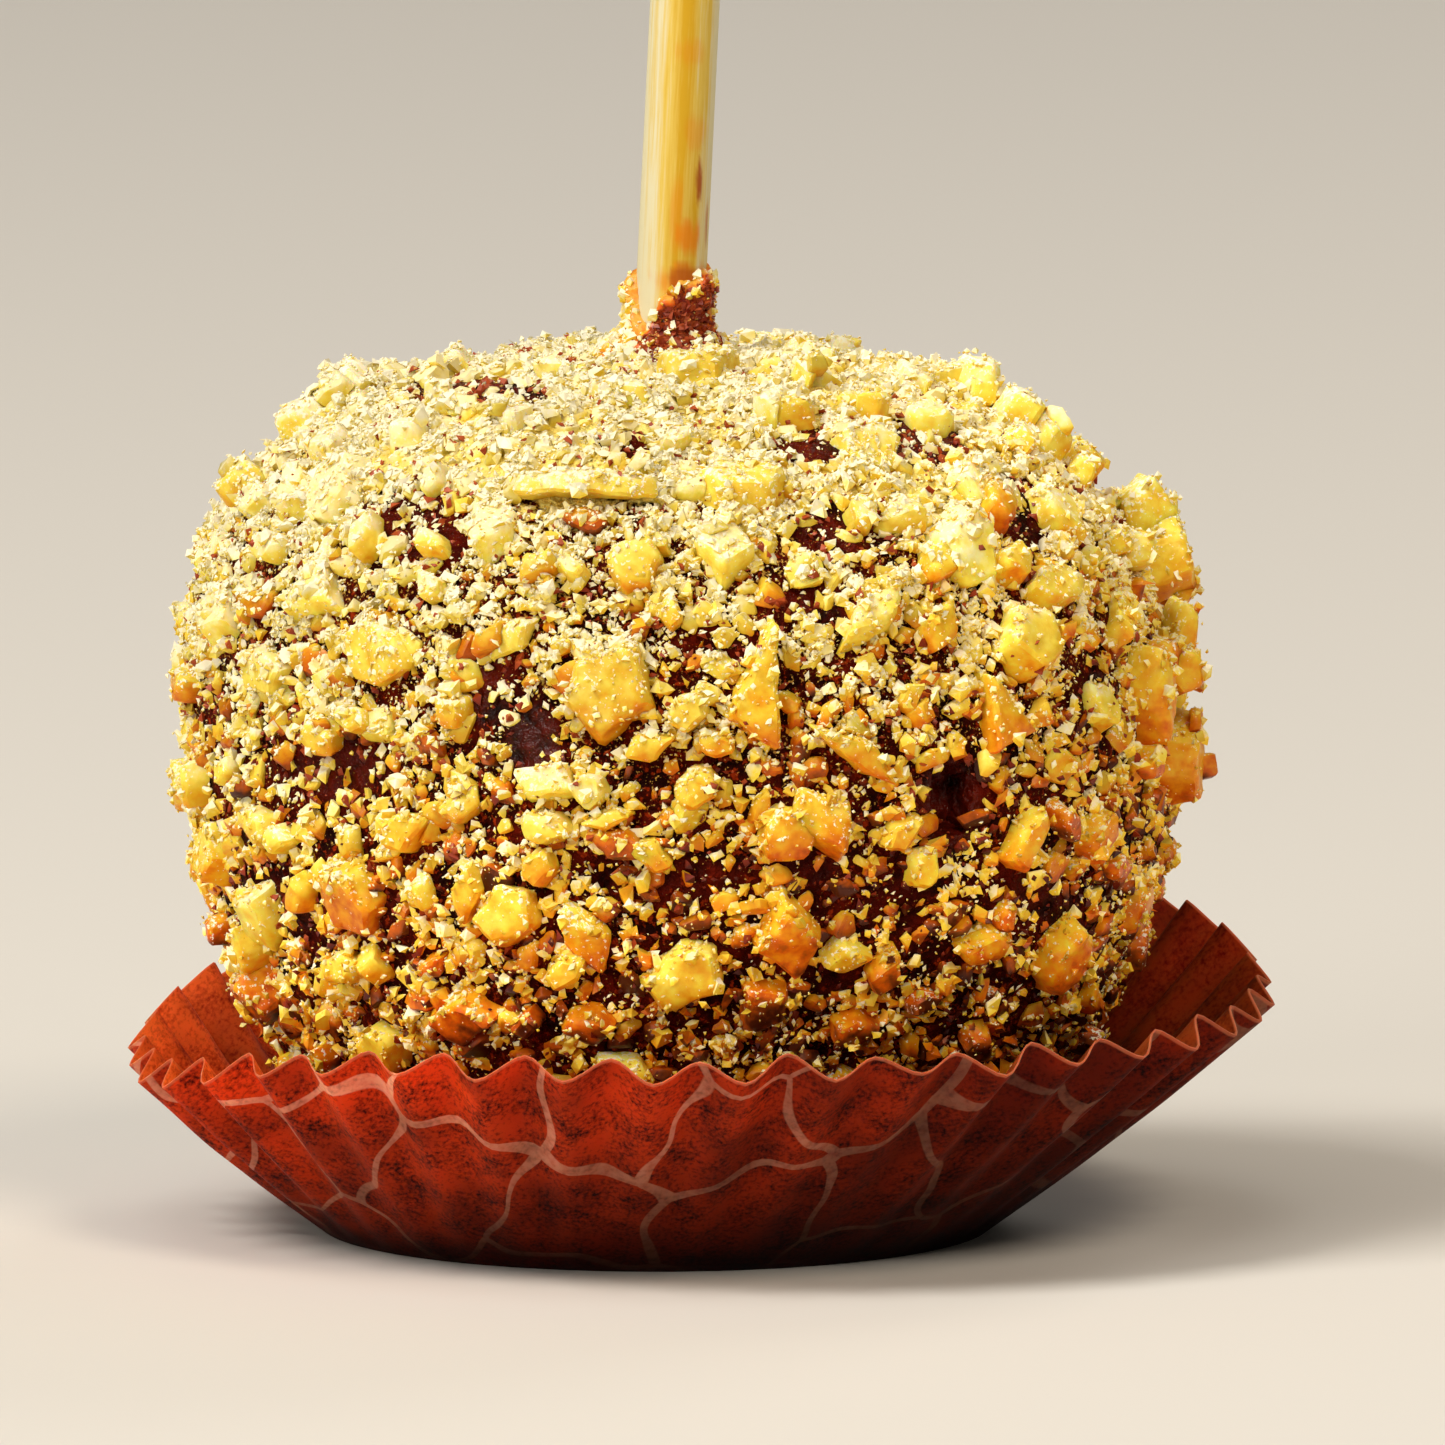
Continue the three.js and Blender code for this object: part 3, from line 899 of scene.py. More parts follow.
FRONT_SHARDS = (
    ShardForm(-6.5, 63.5, 13.8, 6.4, 2.0, 0, -56, 1.3, 5, 0.22, 0.75),
    ShardForm(-29.8, 55.4, 7.6, 6.8, 2.0, 90, -12, 1.2, 3, 0.12, 0.7),
    ShardForm(-1.6, 56.9, 6.6, 5.8, 2.2, 80, 0, 1.4, 6, 0.36, 0.35),
    ShardForm(-3.9, 46.5, 9.6, 8.4, 2.4, 60, -4, 1.6, 5, 0.36, 0.45),
    ShardForm(9.9, 46.1, 10.4, 6.4, 2.2, 72, 8, 1.5, 3, 0.42, 0.2),
    ShardForm(18.4, 52.2, 8.6, 4.0, 2.8, 40, -14, 2.0, 4, 0.2, 0.3),
    ShardForm(23.8, 51.7, 5.8, 4.8, 2.0, 70, 0, 1.3, 4, 0.45, 0.15),
    ShardForm(30.9, 50.5, 7.4, 6.8, 3.2, -30, -10, 2.4, 5, 0.3, 0.25),
    ShardForm(29.0, 44.2, 7.2, 5.8, 2.4, 100, 5, 1.6, 3, 0.5, 0.15),
    ShardForm(17.1, 41.0, 9.4, 3.2, 2.4, -32, 10, 1.7, 4, 0.45, 0.3),
    ShardForm(43.0, 57.6, 10.0, 6.4, 4.6, 70, 12, 4.1, 5, 0.4, 0.45),
    ShardForm(42.2, 46.0, 10.0, 5.0, 3.4, 96, 0, 2.4, 4, 0.48, 0.2),
    ShardForm(45.0, 40.5, 9.8, 7.4, 3.6, 90, 0, 2.8, 6, 0.5, 0.25),
    ShardForm(-12.4, 27.1, 7.0, 5.8, 2.8, 30, -8, 2.1, 5, 0.4, 0.4),
    ShardForm(11.6, 25.1, 8.8, 7.0, 2.6, 95, 12, 2.0, 4, 0.6, 0.25),
    ShardForm(2.4, 21.8, 8.0, 6.8, 2.6, 35, -6, 2.0, 5, 0.36, 0.25),
    ShardForm(9.3, 19.3, 6.6, 5.6, 2.4, 50, 10, 1.2, 4, 0.78, 0.1),
    ShardForm(-15.7, 18.1, 7.4, 5.8, 2.4, -8, 10, 1.6, 4, 0.72, 0.15),
    ShardForm(-23.6, 15.4, 7.4, 5.6, 2.6, 25, -6, 1.7, 5, 0.38, 0.35),
    ShardForm(-21.3, 34.0, 6.2, 4.2, 2.2, 18, 0, 1.5, 4, 0.4, 0.2),
    ShardForm(-35.2, 64.0, 5.6, 4.8, 2.8, 60, -6, 2.0, 5, 0.3, 0.5),
    ShardForm(4.0, 73.8, 8.8, 6.6, 2.8, 12, -8, 1.9, 5, 0.3, 0.35),
    ShardForm(7.8, 64.1, 8.8, 6.4, 2.2, -6, -20, 1.4, 6, 0.28, 0.55),
)

SMALLER_SHARDS = (
    ShardForm(-5.9, 60.6, 4.6, 3.0, 2.0, 0, 10, 0.9, 4, 0.72, 0.0),
    ShardForm(-15.8, 28.7, 5.8, 3.4, 2.2, 78, 6, 1.8, 4, 0.42, 0.2),
    ShardForm(-26.6, 22.6, 5.2, 3.4, 2.2, 10, -10, 1.7, 5, 0.34, 0.3),
    ShardForm(-30.5, 28.7, 4.3, 2.8, 2.2, 84, 0, 1.7, 5, 0.44, 0.15),
    ShardForm(-34.8, 24.1, 5.6, 3.4, 2.4, 70, 0, 1.9, 5, 0.36, 0.3),
    ShardForm(11.8, 69.7, 4.4, 3.4, 2.2, 10, -12, 1.8, 5, 0.36, 0.2),
    ShardForm(17.7, 70.2, 4.0, 2.8, 2.0, -25, -10, 1.8, 4, 0.3, 0.3),
    ShardForm(28.1, 61.9, 5.2, 4.0, 2.2, 80, 0, 1.7, 6, 0.56, 0.15),
    ShardForm(23.8, 56.8, 4.6, 4.2, 2.2, 40, 0, 1.7, 5, 0.42, 0.2),
    ShardForm(29.4, 56.9, 4.8, 4.4, 2.4, 65, -8, 1.9, 5, 0.4, 0.3),
    ShardForm(36.3, 65.6, 4.8, 4.2, 2.6, 75, 0, 2.2, 5, 0.38, 0.4),
    ShardForm(-19.2, 58.5, 4.2, 3.0, 2.2, -30, -10, 1.7, 4, 0.24, 0.4),
    ShardForm(-14.2, 50.4, 4.6, 2.8, 2.2, 62, 0, 1.7, 4, 0.5, 0.15),
    ShardForm(-9.8, 56.6, 4.4, 3.6, 2.4, 50, -6, 1.7, 4, 0.4, 0.25),
    ShardForm(2.9, 44.2, 4.6, 3.4, 2.4, 50, 6, 2.0, 5, 0.28, 0.25),
    ShardForm(-0.4, 41.4, 5.2, 2.6, 2.2, 20, 8, 1.8, 4, 0.36, 0.2),
    ShardForm(3.6, 37.8, 4.2, 4.0, 2.8, 30, 0, 2.2, 6, 0.38, 0.3),
    ShardForm(-5.6, 37.6, 4.0, 3.4, 2.6, 45, -6, 2.2, 5, 0.16, 0.3),
    ShardForm(-3.8, 35.2, 5.0, 2.2, 2.2, 8, 0, 1.9, 4, 0.34, 0.2),
    ShardForm(-9.2, 34.4, 5.6, 3.2, 2.4, -8, 0, 2.1, 5, 0.26, 0.3),
    ShardForm(-3.0, 33.0, 7.0, 3.4, 2.2, -20, 6, 1.4, 4, 0.74, 0.1),
    ShardForm(-9.8, 31.0, 4.2, 3.2, 2.2, 70, 0, 1.6, 5, 0.46, 0.15),
    ShardForm(11.5, 33.8, 5.8, 5.2, 2.4, 62, 0, 1.6, 6, 0.52, 0.35),
    ShardForm(21.0, 34.0, 5.0, 3.0, 2.2, 24, 8, 1.7, 4, 0.44, 0.15),
    ShardForm(-26.5, 43.8, 4.0, 3.0, 2.2, -20, -10, 1.6, 5, 0.3, 0.5),
    ShardForm(-33.8, 34.6, 5.0, 4.0, 2.4, -18, -6, 1.9, 5, 0.3, 0.4),
    ShardForm(-38.4, 38.0, 5.0, 3.6, 2.4, 70, 0, 1.8, 5, 0.28, 0.4),
    ShardForm(31.0, 33.4, 7.0, 3.0, 2.4, 62, 0, 1.9, 5, 0.5, 0.2),
    ShardForm(37.5, 33.6, 6.2, 4.8, 2.4, 50, 0, 1.5, 5, 0.58, 0.25),
    ShardForm(19.8, 22.4, 5.0, 3.4, 2.2, 66, 6, 1.7, 4, 0.66, 0.15),
    ShardForm(28.0, 24.6, 5.4, 4.0, 2.4, 20, 6, 1.7, 5, 0.56, 0.2),
    ShardForm(-7.4, 22.6, 4.4, 3.2, 2.4, 40, 0, 1.9, 5, 0.42, 0.2),
    ShardForm(-5.5, 17.6, 5.0, 3.6, 2.2, -10, 8, 1.4, 5, 0.76, 0.1),
    ShardForm(17.5, 17.4, 5.2, 3.6, 2.2, 14, 8, 1.4, 5, 0.74, 0.1),
    ShardForm(-26.0, 71.4, 5.8, 4.6, 2.4, 20, 16, 3.3, 6, 0.08, 0.95),
    ShardForm(-29.5, 68.6, 5.4, 4.8, 2.4, 60, 0, 2.8, 6, 0.14, 0.8),
    ShardForm(27.0, 71.4, 5.6, 4.6, 2.6, 40, -14, 3.9, 6, 0.16, 0.7),
    ShardForm(30.4, 69.2, 5.4, 4.4, 3.0, 66, 0, 3.2, 5, 0.24, 0.6),
    ShardForm(33.2, 67.4, 4.8, 4.0, 2.6, 70, 0, 2.4, 6, 0.22, 0.6),
    ShardForm(42.0, 59.6, 9.6, 6.2, 2.8, 54, 0, 2.9, 5, 0.34, 0.6, -76),
    ShardForm(40.0, 58.0, 5.4, 4.0, 2.8, 12, 0, 2.2, 5, 0.24, 0.7, -60),
    ShardForm(44.0, 54.6, 4.4, 3.4, 2.4, 80, 0, 3.4, 6, 0.5, 0.2, -70),
    ShardForm(44.0, 51.0, 6.0, 3.2, 2.4, 88, 0, 3.0, 5, 0.42, 0.3, -64),
    ShardForm(44.0, 47.6, 5.0, 4.0, 2.4, 70, 0, 3.2, 6, 0.46, 0.2, -70),
)


@dataclass
class Shards:
    """The large shards: the listed ones of the front, then the ones spread over the rest by a spiral."""

    form: AppleForm
    count: int = 200
    lowest: float = -0.66
    highest: float = 0.985
    shortest: float = 3.6
    longest: float = 8.2
    lean: float = 22.0
    room: float = 0.62
    seed: int = 4127
    stick_x: float = 1.1
    stick_clear: float = 7.2
    grown: float = 1.05  # how much wider than the solid's shards, to stand out of the crumbs round them
    bite: float = 0.11  # how far the sides slope in, as a share of the width
    root: float = 1.3  # how much deeper each shard that lies flat is set than its solid
    steep: float = 30.0  # a shard that leans more than this stands on edge
    settled: float = 0.35  # how far the shards sink into the crumbs round them
    worn: float = 0.32  # width of a shard's broken edges
    chips: tuple[tuple[float, float], ...] = ((0.32, 2.6), (0.16, 1.0), (0.08, 0.45))
    finest: float = 1.15  # longest edge that is left on a shard
    rim_width: tuple[float, float] = (0.9, 0.2)  # its dusted rim fades in from here to here off the edge
    crumb_step: float = 0.5  # length of edge that a crumb is strewn for, at most
    crumb_jitter: float = 0.22
    crumb_floor: float = 8.0  # no crumbs cling to edges below this height
    rims: list[tuple[Vector, Vector, Vector]] = field(default_factory=list)  # start, end and outward of each top edge

    def plan(self, draw: Callable[[], float]) -> list[tuple[Matrix, ShardForm]]:
        """Works out every shard's spot and form.

        Args:
            draw: Draws the seeded numbers.

        Returns:
            A matrix and a form for each shard.
        """
        plan = [(self.form.front_spot(s.x, s.up), s) for s in FRONT_SHARDS]
        golden_angle = math.pi * (3 - math.sqrt(5))
        for i in range(self.count):
            latitude = math.degrees(math.asin(mix(self.lowest, self.highest, (i + 0.5) / self.count)))
            long = mix(self.shortest, self.longest, draw() ** 2)
            thick = mix(1.6, 2.8, draw())
            short = long * mix(0.55, 0.9, draw())
            turn, lean = 180 * draw(), self.lean * (2 * draw() - 1)
            proud, corners = thick * mix(0.45, 0.8, draw()), 4 + int(3 * draw())
            spot = self.form.spot(latitude, i * golden_angle)
            middle = spot.translation
            clear = all(
                (other.translation - middle).length > self.room * (shape.long + long) * 0.5 + 1
                for other, shape in plan
            )
            off_stick = math.hypot(middle.x - self.stick_x, middle.y) > self.stick_clear + long / 2
            if clear and (off_stick or middle.z < self.form.waist):
                plan.append((spot, ShardForm(0, 0, long, short, thick, turn, lean, proud, corners, -1)))
        return plan

    def outline(self, shape: ShardForm, draw: Callable[[], float]) -> list[Vector]:
        """Draws the corners of a shard's lower face.

        Args:
            shape: Its form.
            draw: Draws the seeded numbers.

        Returns:
            The corners, in order.
        """
        root = self.root if abs(shape.lean) < self.steep else 0.0
        corners = []
        for i in range(shape.corners):
            angle = (i + 0.5 * (draw() - 0.5)) / shape.corners * math.tau
            reach = self.grown * (0.6 if shape.corners == 3 else mix(0.46, 0.54, draw()))
            point = (reach * shape.long * math.cos(angle), reach * shape.short * math.sin(angle))
            corners.append(Vector((*point, -shape.thick / 2 - root)))
        return corners

    def raised(self, shape: ShardForm, corners: Sequence[Vector]) -> list[Vector]:
        """Returns the corners of a shard's upper face, drawn in a little from the lower ones."""
        shrinks = [1 - self.bite * shape.short / math.hypot(c.x, c.y) for c in corners]
        return [Vector((c.x * s, c.y * s, shape.thick / 2)) for c, s in zip(corners, shrinks)]

    def shard(self, lower: Sequence[Vector], upper: Sequence[Vector], look: np.random.Generator) -> bmesh.types.BMesh:
        """Makes one irregular flat shard about the origin, its broad face towards +Z.

        Args:
            lower: The corners of its lower face.
            upper: The corners of its upper face.
            look: Draws the numbers of its surface.

        Returns:
            The shard, with broken edges and uneven faces.
        """
        shard = bmesh.new()
        plate(shard, lower, upper)
        broken(shard, self.worn, self.finest, self.chips, Vector(look.uniform(0, 100, 3)))
        return shard

    def rimmed(self, points: np.ndarray, upper: Sequence[Vector]) -> np.ndarray:
        """Returns how near each point of a shard is to the rim of its upper face, from 0 to 1."""
        nearest = np.full(len(points), np.inf)
        for start, end in zip(upper, [*upper[1:], upper[0]]):
            a, along = np.array(start), np.array(end - start)
            share = np.clip((points - a) @ along / (along @ along), 0, 1)
            nearest = np.minimum(nearest, np.linalg.norm(points - a - share[:, None] * along, axis=1))
        return eased(nearest, *self.rim_width)

    def arrays(self) -> MeshArrays:
        """Returns all the shards, laid on the coat and joined."""
        draw = seeded_draw(self.seed)
        look = np.random.default_rng(self.seed)
        parts = []
        plan = self.plan(draw)
        plan += [(self.form.front_spot(s.x, s.up), s) for s in SMALLER_SHARDS]
        for spot, shape in plan:
            swing, lean, turn = (
                Matrix.Rotation(math.radians(degrees), 4, axis)
                for degrees, axis in ((shape.swing, "Y"), (shape.lean, "X"), (shape.turn, "Z"))
            )
            tipped = swing @ lean @ turn
            place = spot @ Matrix.Translation((0, 0, shape.proud - self.settled - shape.thick / 2)) @ tipped
            boil, dust = shape.boil, shape.dust
            if boil < 0:
                boil, dust = boil_and_painted_shade(spot.translation, look), mix(0.2, 0.7, look.random())
            dust = 0.7 * dust + 0.12 * float(eased(np.array(spot.translation.z), 60, 73))
            # The brightness is a random tone times the painted light gain.
            shade = mix(0.92, 1.05, look.random()) * float(painted_light_gain(np.array([spot.translation]))[0])
            lower = self.outline(shape, draw)
            upper = self.raised(shape, lower)
            part = MeshArrays.of(self.shard(lower, upper, look), (boil, dust, shade))
            part.marks[:, 1] += 0.2 * self.rimmed(part.vertices, upper)
            frame = np.array(place)
            part.vertices = part.vertices @ frame[:3, :3].T
            # Painted light and shade: the shard is paler and dustier towards the key lamp's side and deeper in colour
            # away from it.
            part.marks += (part.vertices @ LIT_AND_DUSTED_SIDE / shape.long)[:, None] * PAINTED_LIGHT_AND_DUST_SHIFT
            part.vertices += frame[:3, 3]
            parts.append(part)
            seen = [place @ corner for corner in upper]
            outward = (place.to_3x3() @ Vector((0, 0, 1))).normalized()
            self.rims += [(start, end, outward) for start, end in zip(seen, [*seen[1:], seen[0]])]
        return MeshArrays.joined(parts)

    def crumbs(self, look: np.random.Generator) -> MeshArrays:
        """Returns the crumbs that cling to the shards' upper edges, most of them where an edge faces up.

        Args:
            look: Draws the seeded numbers.

        Returns:
            The crumbs, joined.
        """
        places, normals = [], []
        for start, end, outward in self.rims:
            middle_z = (start.z + end.z) / 2
            upward = outward.cross(end - start).normalized().z
            shown = mix(0.2, 1.0, float(eased(np.array(-upward), -0.6, 0.7))) * (middle_z > self.crumb_floor)
            for _ in range(int((end - start).length / self.crumb_step * shown * mix(0.5, 1.0, look.random()))):
                jitter = Vector(look.normal(0, self.crumb_jitter, 3))
                places.append(start.lerp(end, look.random()) + jitter)
                normals.append(outward)
        sizes = mix(RIM_CRUMBS.smallest, RIM_CRUMBS.largest, look.random(len(places)) ** RIM_CRUMBS.skew)
        frames = np.array([RIM_CRUMBS.attitude(n, s, look) for n, s in zip(normals, sizes)])
        boil = np.array([0.6 * boil_and_painted_shade(p, look) for p in places])
        marks = np.stack([boil, look.uniform(0.2, 0.7, len(places)), look.uniform(0.88, 1.05, len(places))], axis=1)
        return RIM_CRUMBS.strewn(frames, np.array(places), marks, look)


def boil_and_painted_shade(point: Vector, look: np.random.Generator) -> float:
    """Draws how dark a piece's colour is: a random boil, pale on top, and deeper low down and on the right, which is
    painted shade.

    Args:
        point: Where it lies, in millimetres.
        look: Draws the seeded numbers.

    Returns:
        From 0, cream, to 1, burnt brown.
    """
    depth = float(eased(np.array(point.z), 74, 12))
    # Painted shade: the colour deepens low down and towards the right side, away from the key lamp.
    base = mix(0.1, 0.6, depth) + 0.15 * point.x / 45
    return float(np.clip(base + mix(0.08, 0.15, depth) * look.standard_normal(), 0.02, 0.92))


def painted_light_gain(points: np.ndarray) -> np.ndarray:
    """Returns how much each point's brightness is raised by painted light: brighter low down and on the right, and a
    little darker on top, painted shade.
    """
    return mix(0.98, 1.34, eased(points[:, 2], 50, 18)) + 0.22 * eased(points[:, 0], -4, 38)


@dataclass
class ToffeeKind:
    """One kind of scattered pieces: its templates, how many, how large, where it lies and how.

    Sizes are lengths in millimetres. Pieces that would be heaped higher above the coat than `heaped` fall off,
    but for the share `stray`. `clumped` gathers them in patches, `pale` draws them to the top and lightens them.
    """

    name: str
    finish: ChoppedToffee
    count: int
    smallest: float
    largest: float
    skew: float
    sunk: float
    spread: Spread
    cuts: int
    flat: float
    seed: int
    heaped: float
    stray: float
    build: Build = Build.PLATE
    clumped: float = 0.0
    forms: int = 16
    apart: float = 0.0
    dust: tuple[float, float] = (0.1, 0.6)
    shade: tuple[float, float] = (0.9, 1.05)
    pale: float = 0.0
    worn: float = 0.0
    finest: float = 0.4
    brown: float = 0.0  # share of clear brown pieces, their darkness partly painted shade
    bared: float = 0.0  # how much it keeps to where little other toffee lies

    def templates(self) -> list[MeshArrays]:
        """Makes the kind's template pieces, one unit long.

        Returns:
            Plates cracked by their own planes, plain flakes, crystals or splinters.
        """
        look = np.random.default_rng(self.seed)
        made = []
        for _ in range(self.forms):
            chip = bmesh.new()
            if self.build in (Build.PLATE, Build.FLAKE):
                self.cast(chip, look)
            elif self.build is Build.CRYSTAL:
                bmesh.ops.create_uvsphere(chip, u_segments=4, v_segments=2, radius=0.55)
            else:
                bmesh.ops.create_cone(chip, cap_ends=True, segments=4, radius1=0.55, radius2=0, depth=0.6)
            bmesh.ops.scale(
                chip, vec=(1, look.uniform(0.55, 0.95), self.flat * look.uniform(0.7, 1.3)), verts=chip.verts
            )
            for vertex in chip.verts:
                vertex.co += Vector(look.uniform(-0.1, 0.1, 3)) * (0.5 if self.cuts else 1.5)
            for _ in range(self.cuts):
                self.crack(chip, look)
            bmesh.ops.recalc_face_normals(chip, faces=chip.faces[:])
            if self.worn:
                broken(chip, self.worn, self.finest, ((0.1, 0.6), (0.05, 0.22)), Vector(look.uniform(0, 100, 3)))
            made.append(MeshArrays.of(chip))
        return made

    def cast(self, chip: bmesh.types.BMesh, look: np.random.Generator) -> None:
        """Adds an irregular plate, one unit long and high, to a bmesh.

        Args:
            chip: The bmesh.
            look: Draws the seeded numbers.
        """
        corners = int(look.integers(4, 7 if self.build is Build.PLATE else 6))
        drawn_in, slope = look.uniform(0.7, 1.0), look.uniform(-0.5, 0.5, 2)
        lower, upper = [], []
        for i in range(corners):
            angle = (i + look.uniform(-0.28, 0.28)) / corners * math.tau
            x, y = np.array((math.cos(angle), math.sin(angle))) * look.uniform(0.36, 0.62)
            lower.append(Vector((x, y, -0.5)))
            upper.append(Vector((x * drawn_in, y * drawn_in, 0.5 + x * slope[0] + y * slope[1])))
        plate(chip, lower, upper)

    def crack(self, chip: bmesh.types.BMesh, look: np.random.Generator) -> None:
        """Breaks one slanting corner off a block and closes the break.

        Args:
            chip: The block.
            look: Draws the seeded numbers.
        """
        normal = Vector(look.uniform(-1, 1, 3))
        normal.z *= 0.8
        normal.normalize()
        reach = max(v.co.dot(normal) for v in chip.verts)
        bmesh.ops.bisect_plane(
            chip,
            geom=chip.verts[:] + chip.edges[:] + chip.faces[:],
            dist=1e-4,
            plane_co=normal * reach * look.uniform(0.5, 0.8),
            plane_no=normal,
            clear_outer=True,
        )
        bmesh.ops.holes_fill(chip, edges=[edge for edge in chip.edges if edge.is_boundary])

    def arrays(self, coat: Coat, under: BVHTree) -> MeshArrays:
        """Scatters the kind over the apple.

        Args:
            coat: The coat, which says where toffee lies thick.
            under: The surface that the pieces drop onto.

        Returns:
            All the pieces, joined.
        """
        look = np.random.default_rng(self.seed + 1)
        points, normals, marks = coat.sample(self, look)
        sizes = mix(self.smallest, self.largest, look.random(len(points)) ** self.skew)
        frames, places, kept = [], [], []
        for i, (point, normal) in enumerate(zip(points, normals)):
            outward = Vector(normal)
            hit, facing, _, _ = under.ray_cast(Vector(point) + outward * DROP_FROM, -outward, DROP_REACH)
            if hit is None or ((hit - Vector(point)).dot(outward) > self.heaped and look.random() > self.stray):
                continue
            lift = facing if self.spread is not Spread.TUMBLED and facing.dot(outward) > 0.3 else outward
            frames.append(self.attitude(lift, sizes[i], look))
            places.append(hit + outward * sizes[i] * (0.5 * self.flat - self.sunk))
            kept.append(i)
        return self.strewn(np.array(frames), np.array(places), marks[kept], look)

    def dealt(
        self, weight: np.ndarray, outward: np.ndarray, look: np.random.Generator
    ) -> tuple[np.ndarray, np.ndarray]:
        """Draws which triangles of a body the pieces lie on, and how.

        Args:
            weight: How readily each triangle takes a piece.
            outward: The way each triangle faces.
            look: Draws the seeded numbers.

        Returns:
            Each piece's triangle, and a 3 by 3 matrix for it.
        """
        chosen = look.choice(len(weight), self.count, p=weight / weight.sum())
        sizes = mix(self.smallest, self.largest, look.random(self.count) ** self.skew)
        frames = [self.attitude(Vector(n), s, look) for n, s in zip(outward[chosen], sizes)]
        return chosen, np.array(frames)

    def strewn(
        self, frames: np.ndarray, places: np.ndarray, marks: np.ndarray, look: np.random.Generator
    ) -> MeshArrays:
        """Puts a template drawn at random at each place.

        Args:
            frames: A 3 by 3 matrix for each piece.
            places: Where each piece goes.
            marks: The marks of each piece.
            look: Draws the seeded numbers.

        Returns:
            All the pieces, joined.
        """
        made = self.templates()
        pick = look.integers(0, len(made), len(places))
        return MeshArrays.joined(
            [one.placed(frames[pick == k], places[pick == k], marks[pick == k]) for k, one in enumerate(made)]
        )

    def attitude(self, up: Vector, size: float, look: np.random.Generator) -> np.ndarray:
        """Turns and sizes one piece.

        Args:
            up: What its broad face looks towards.
            size: Its length.
            look: Draws the seeded numbers.

        Returns:
            A 3 by 3 matrix.
        """
        turn = up.to_track_quat("Z", "Y").to_matrix()
        spin = Matrix.Rotation(look.uniform(0, math.tau), 3, "Z")
        lean = Matrix.Rotation(look.normal(0, self.spread.value), 3, "X")
        return np.array(turn @ spin @ lean) * size


@dataclass(frozen=True)
class BarePatch:
    """A place on the front where little toffee lies: its middle as seen, half sizes and how bare it is."""

    x: float
    up: float
    wide: float
    high: float
    bare: float


BARE_PATCHES = (
    BarePatch(-10.6, 41.5, 2.4, 3.6, 0.97),
    BarePatch(-14.6, 46.5, 2.6, 4.0, 0.75),
    BarePatch(-28.0, 39.5, 5.0, 4.0, 0.62),
    BarePatch(-20.5, 60.0, 4.5, 4.0, 0.62),
    BarePatch(22.5, 68.0, 4.0, 2.2, 0.8),
    BarePatch(13.0, 67.5, 3.5, 1.6, 0.7),
    BarePatch(38.5, 45.0, 2.0, 3.0, 0.8),
    BarePatch(-16.0, 72.5, 5.0, 1.4, 0.8),
    BarePatch(25.5, 36.0, 3.0, 4.4, 0.9),
    BarePatch(-33.0, 27.0, 4.0, 3.0, 0.6),
    BarePatch(14.0, 31.0, 4.0, 3.0, 0.55),
    BarePatch(6.0, 50.5, 5.0, 2.0, 0.5),
    BarePatch(-2.0, 67.5, 3.0, 1.6, 0.5),
    BarePatch(16.0, 60.0, 4.5, 2.6, 0.6),
    BarePatch(31.0, 60.5, 3.0, 3.0, 0.6),
    BarePatch(13.5, 54.0, 4.0, 2.0, 0.6),
    BarePatch(0.0, 30.0, 6.0, 2.4, 0.55),
    BarePatch(33.0, 27.5, 4.0, 3.0, 0.6),
)


@dataclass(frozen=True)
class Heap:
    """A place where the coat is built up: latitude and angle on the body in degrees, half width and height."""

    latitude: float
    angle: float
    wide: float
    high: float


HEAPS = (Heap(56, 180, 10.0, 2.6), Heap(60, 0, 10.0, 2.2))


